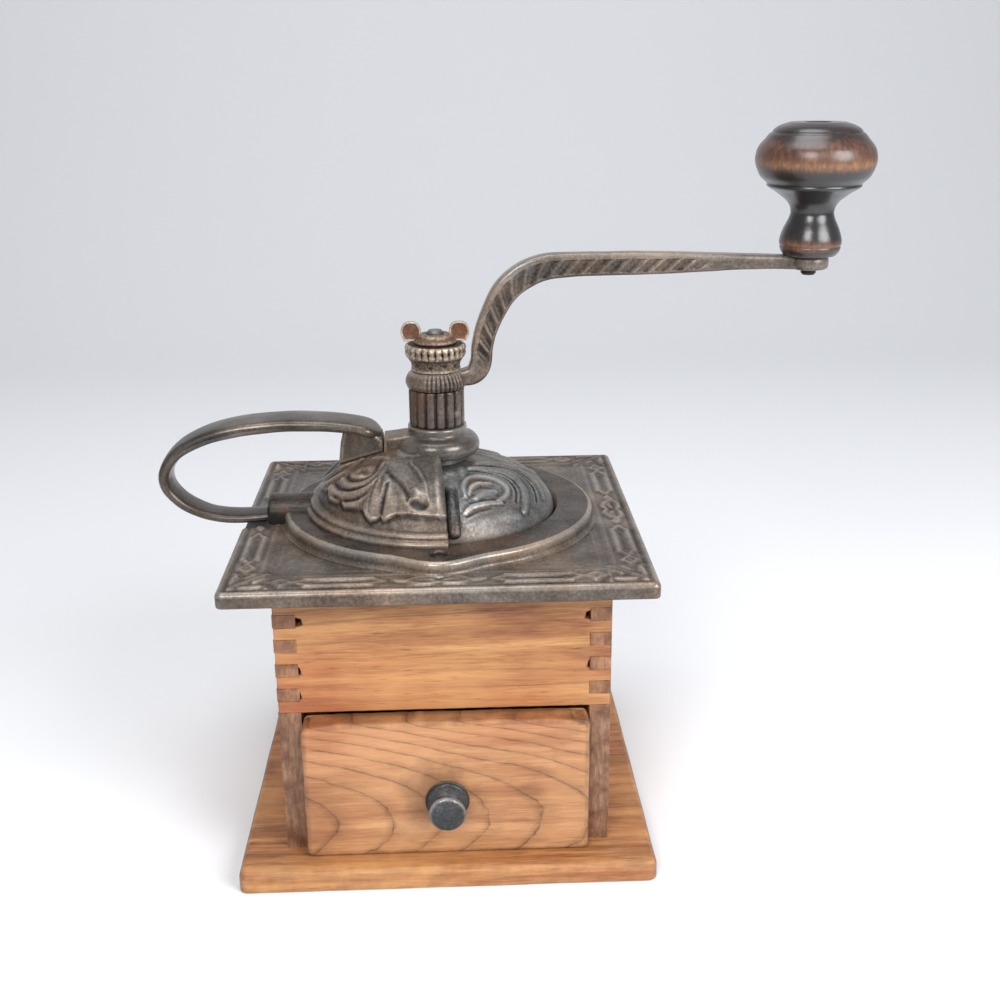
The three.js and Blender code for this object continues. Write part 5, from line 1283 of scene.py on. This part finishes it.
def sleeve_skin():
    height = np.concatenate([[0, 0.0, 0.25, 0.7], np.linspace(1.2, 15.2, 12),
                             [15.7, 16.15, 16.4, 16.4]])[:, None]
    bevel = np.array([7.0, 0.9, 0.3, 0.05] + [0.0] * 12 + [0.05, 0.3, 0.9, 7.0])[:, None]
    angle = np.linspace(0, TURN, RIBS * 14, endpoint=False)
    groove = (0.5 + 0.5 * np.cos(angle * RIBS + 0.6)) ** 4
    dent = hump(angle, math.radians(DENT_AZIMUTH), 0.16) * hump(height, DENT_UP, 1.3)
    radius = SLEEVE_RADIUS - bevel - 0.95 * groove * (bevel < 3) - 0.5 * dent
    return skin(about_z(radius, angle, SLEEVE_LOW + height), worn=0.32 - 0.42 * groove + 0.35 * dent)


build("fluted_sleeve_cast", [sleeve_skin()], cast_iron, "crank", ["fluted_sleeve"],
      shift=SHAFT_X)

# %% Beaded collar
BEADS = 26


def collar_skin():
    foot = curve([(SHAFT_BORE, COLLAR_LOW), (10.1, COLLAR_LOW), (10.9, 207.3), (10.8, 208.2),
                  (10.9, 209.4), (11.3, 210.7), (11.9, 211.8), (12.4, 212.7)], 6)
    band_up = np.linspace(0, 1, 22)
    band = np.stack([12.9 + 0 * band_up, BAND_LOW + 0.1 + 5.4 * band_up], 1)
    top = curve([(12.4, 218.45), (11.0, COLLAR_TOP), (7.0, COLLAR_TOP), (SHAFT_BORE, COLLAR_TOP)], 3)
    profile = np.concatenate([foot, band, top])
    angle = np.linspace(0, TURN, BEADS * 10, endpoint=False)
    reach, up = profile[:, :1], profile[:, 1:]
    bead = np.sqrt(np.abs(np.cos(angle * BEADS / 2)))[None, :]
    share = (up - BAND_LOW) / (COLLAR_TOP - BAND_LOW)
    on_band = ((share > 0) & (reach > 12.3)).astype(float)
    barrel = np.sin(math.pi * np.clip(share, 0, 1)) ** 0.4
    waist = hump(share, 0.5, 0.17)
    swell = on_band * (0.9 * bead * barrel - 0.55 - 0.75 * waist * (1 - 0.5 * bead) + 0.45 * barrel)
    low_pits = (0.5 + 0.5 * np.cos(angle * 11 + 1)) ** 3 * hump(
        up, 209.8 + 0.4 * np.cos(angle * 5), 0.8)
    points = about_z(reach + swell - 0.45 * low_pits * (reach > 9), angle, up)
    worn = 0.55 + on_band * (0.35 * bead - 0.85 * waist * (1.2 - bead)) - 0.5 * low_pits
    worn = worn - 0.25 * hump(up, 212.3, 0.6) + 0.3 * hump(up, 207.4, 0.5)
    worn = worn - 0.5 * (up > 218.3) * (reach < 12.0)
    return skin(cast(points, 0.12, 4.0, 95), ring=True, worn=worn)


build("adjusting_collar_beaded", [collar_skin()], plating, "collar",
      ["adjusting_collar"], shift=SHAFT_X, crease=60)

# %% Wing nut
EAR_LAYERS = [(2.8, 0.75), (1.5, 0.75), (1.1, 0.9), (0.75, 1.2), (0.35, 1.3), (0.08, 1.1),
              (0.0, 0.7)]
EAR_WORN = [-0.05, 0.0, 0.1, 0.6, 0.85, 0.8, 0.6]
NUT = [(SHAFT_BORE, NUT_LOW), (8.6, NUT_LOW), (9.45, 219.4), (9.5, 220.1), (9.0, 220.8),
       (8.0, 221.1), (7.6, 221.5), (7.5, 222.1), (6.9, 222.7), (5.8, NUT_TOP),
       (SHAFT_BORE, NUT_TOP)]


def ear_skin(side):
    """A round-topped plate: the arch x = cos^0.75, z = sin^0.8 of the angle, carried through its
    thickness and hollowed a little on both faces inside a rim."""
    t = np.radians(np.linspace(0, 180, 25))
    lean = np.sign(np.cos(t)) * np.abs(np.cos(t)) ** 0.75
    arch = np.stack([side * 10.6 + 4.5 * lean, NUT_TOP + 5.4 * np.sin(t) ** 0.8], 1)
    outline = np.concatenate([[(side * 10.0 - 3.6, 219.7), (side * 10.0 + 3.6, 219.7)], arch])
    front = [(s, -depth) for s, depth in EAR_LAYERS]
    rows = layered(outline, front + EAR_LAYERS[::-1])
    return skin(rows[..., [0, 2, 1]], worn=np.array(EAR_WORN + EAR_WORN[::-1])[:, None])


def nut_hub():
    profile = evenly(curve(NUT, 6), 60)
    rows = cast(turned(profile, 80)[0], 0.10, 5.0, 97)
    return skin(rows, ring=True, worn=0.34 + 0.2 * np.cos(2.4 * (profile[:, 1:] - 219.6)))


build("wing_nut_eared", [nut_hub(), ear_skin(-1), ear_skin(1)], ear_plating, "wing",
      ["wing_nut"], shift=SHAFT_X, crease=50)

# %% [markdown]
# ## Crank knob
# A mushroom of turned hardwood on a rivet. The profile goes from the foot through the narrow
# waist to a step and the wide head. Fine lines mark where the turner's tool rested.

# %% Crank knob
KNOB_SHARES = [
    (0.44, 0), (0.5, 0.04), (0.522, 0.115), (0.47, 0.2), (0.385, 0.285), (0.365, 0.34),
    (0.425, 0.405), (0.61, 0.475), (0.78, 0.525), (0.805, 0.555), (0.92, 0.61), (1, 0.715),
    (0.965, 0.81), (0.85, 0.88), (0.765, 0.925), (0.65, 0.97), (0.47, 1)]
TOOL_LINES = (0.075, 0.545, 0.93)
KNOB_BORE = [(5.8, 310.6), (5.8, 308.6), (PIN_BORE, 308.4), (PIN_BORE, KNOB_LOW)]


def knob_skin():
    outer = curve(KNOB_SHARES, 10) * (KNOB_RADIUS, KNOB_LENGTH) + (0, KNOB_LOW)
    outer = evenly(outer, 150)
    share = (outer[:, 1] - KNOB_LOW) / KNOB_LENGTH
    for place in TOOL_LINES:
        outer[:, 0] -= 0.35 * hump(share, place, 0.008)
    profile = np.concatenate([outer, KNOB_BORE])
    rows, angle = turned(profile, 128)
    share = (profile[:, 1:] - KNOB_LOW) / KNOB_LENGTH
    belt = 0.28 * hump(share, 0.705, 0.038)
    facing = np.cos(angle + 0.7 * math.pi)
    foot = (0.52 + 0.2 * facing) * hump(share, 0.09, 0.055)
    head = 0.55 * eased((share - 0.61) / 0.08) - 0.26 * eased((share - 0.82) / 0.10)
    return skin(rows + (CRANK_REACH, 0, 0), ring=True, worn=belt + foot + head)


build("crank_knob_turned", [knob_skin()], lacquer, "knob", ["crank_knob"],
      shift=SHAFT_X, crease=50)

# %% [markdown]
# ## Pieces that stay as they are
# Screws, burrs, the bowl, the shaft and the drawer's inner boards already have their true shape
# in the solid model. They keep it, and get the finishes made above. The plate's two screws and
# the knob's rivet have gone as brown as the castings they sit in.

# %% Finishes for the solids that stay
BY_SLOT = {"base_wood": base_wood, "box_wood": side_wood, "drawer_wood": drawer_inner,
           "aged_iron": inner_iron, "worn_plating": plating, "dark_steel": steel,
           "knob_iron": knob_iron, "knob_lacquer": lacquer}
IRON_PINS = ("plate_screw_front", "plate_screw_back", "knob_rivet")
slot_of = {part["node"]: part["material_slot"] for part in frame["record"]["subparts"]}
for name, node in cad_nodes.items():
    for place in node.material_slots:
        place.material = cast_iron if name in IRON_PINS else BY_SLOT[slot_of[name]]
print("finishes given to", len(cad_nodes), "solids")

# %% [markdown]
# ## Stage, light and camera
# A plain pale floor that curves up into a backdrop, and a pale world. Three soft lamps: one at
# the left of the camera, a larger and stronger one at its right, and one overhead. The camera
# stands where the photographer stood.

# %% Stage
FLOOR_FRONT, FLOOR_BACK, FLOOR_BEND, FLOOR_SIDE, WALL_TOP = -2.2, 0.9, 0.8, 3.0, 3.0
LAMPS = [("key", (-0.4, -1.15, 0.95), (0, 0, 0.12), 0.6, 9.8, (1.0, 0.985, 0.96)),
         ("side", (0.85, -0.85, 0.75), (0, 0, 0.10), 0.8, 13.5, (0.98, 0.985, 1.0)),
         ("top", (-0.05, -0.1, 1.4), (0, 0, 0.15), 0.9, 8.0, (0.97, 0.98, 1.0))]

profile = [(FLOOR_FRONT, 0.0)]
profile += [(FLOOR_BACK + FLOOR_BEND * math.sin(t), FLOOR_BEND * (1 - math.cos(t)))
            for t in quarter(17)]
profile += [(FLOOR_BACK + FLOOR_BEND, WALL_TOP)]
sheet = [(x, y, z - 0.2 * MM) for y, z in profile for x in (-FLOOR_SIDE, 0, FLOOR_SIDE)]
faces = [(k, k + 1, k + 4, k + 3) for k in range(len(sheet) - 3) if k % 3 < 2]
paper = Finish("pale_paper", Roughness=0.9, Specular_IOR_Level=0.1,
               Base_Color=(0.86, 0.865, 0.88, 1))
floor = link("floor", smooth_mesh("floor", sheet, faces, paper.material))

for name, place, aim, size, power, colour in LAMPS:
    light = bpy.data.lights.new(name, "AREA")
    light.shape, light.size, light.energy, light.color = "DISK", size, power, colour
    holder = link(name, light)
    holder.location = place
    holder.rotation_euler = (Vector(aim) - Vector(place)).to_track_quat("-Z", "Y").to_euler()
world = bpy.data.worlds.new("pale_room")
world.use_nodes = True
world.node_tree.nodes["Background"].inputs["Color"].default_value = (0.80, 0.83, 0.88, 1)
world.node_tree.nodes["Background"].inputs["Strength"].default_value = 0.45
bpy.context.scene.world = world
bpy.context.scene.view_settings.view_transform = "Standard"
print("stage and", len(LAMPS), "lamps ready")

# %% Camera
CAMERA_PLACE = (0.0047, -0.562, 0.33857)
CAMERA_YAW, CAMERA_PITCH, CAMERA_ROLL = 2.249, 19.015, -0.508


def look(yaw, pitch, roll):
    """Axes of a camera that is turned by yaw to the right, by pitch down, and rolled."""
    yaw, pitch, roll = (math.radians(v) for v in (yaw, pitch, roll))
    ahead = Vector((math.sin(yaw) * math.cos(pitch), math.cos(yaw) * math.cos(pitch),
                    -math.sin(pitch)))
    right = Vector((math.cos(yaw), -math.sin(yaw), 0))
    up = right.cross(ahead)
    tilted_right = math.cos(roll) * right + math.sin(roll) * up
    tilted_up = math.cos(roll) * up - math.sin(roll) * right
    return Matrix((tilted_right, tilted_up, -ahead)).transposed().to_4x4()


eye = bpy.data.cameras.new("camera")
eye.sensor_fit, eye.sensor_width, eye.lens = "HORIZONTAL", 36.0, 46.52
eye.clip_start, eye.clip_end = 0.01, 20.0
camera = link("camera", eye)
camera.matrix_world = Matrix.Translation(CAMERA_PLACE) @ look(CAMERA_YAW, CAMERA_PITCH, CAMERA_ROLL)
bpy.context.scene.camera = camera
print("camera at", [round(v, 4) for v in camera.location])
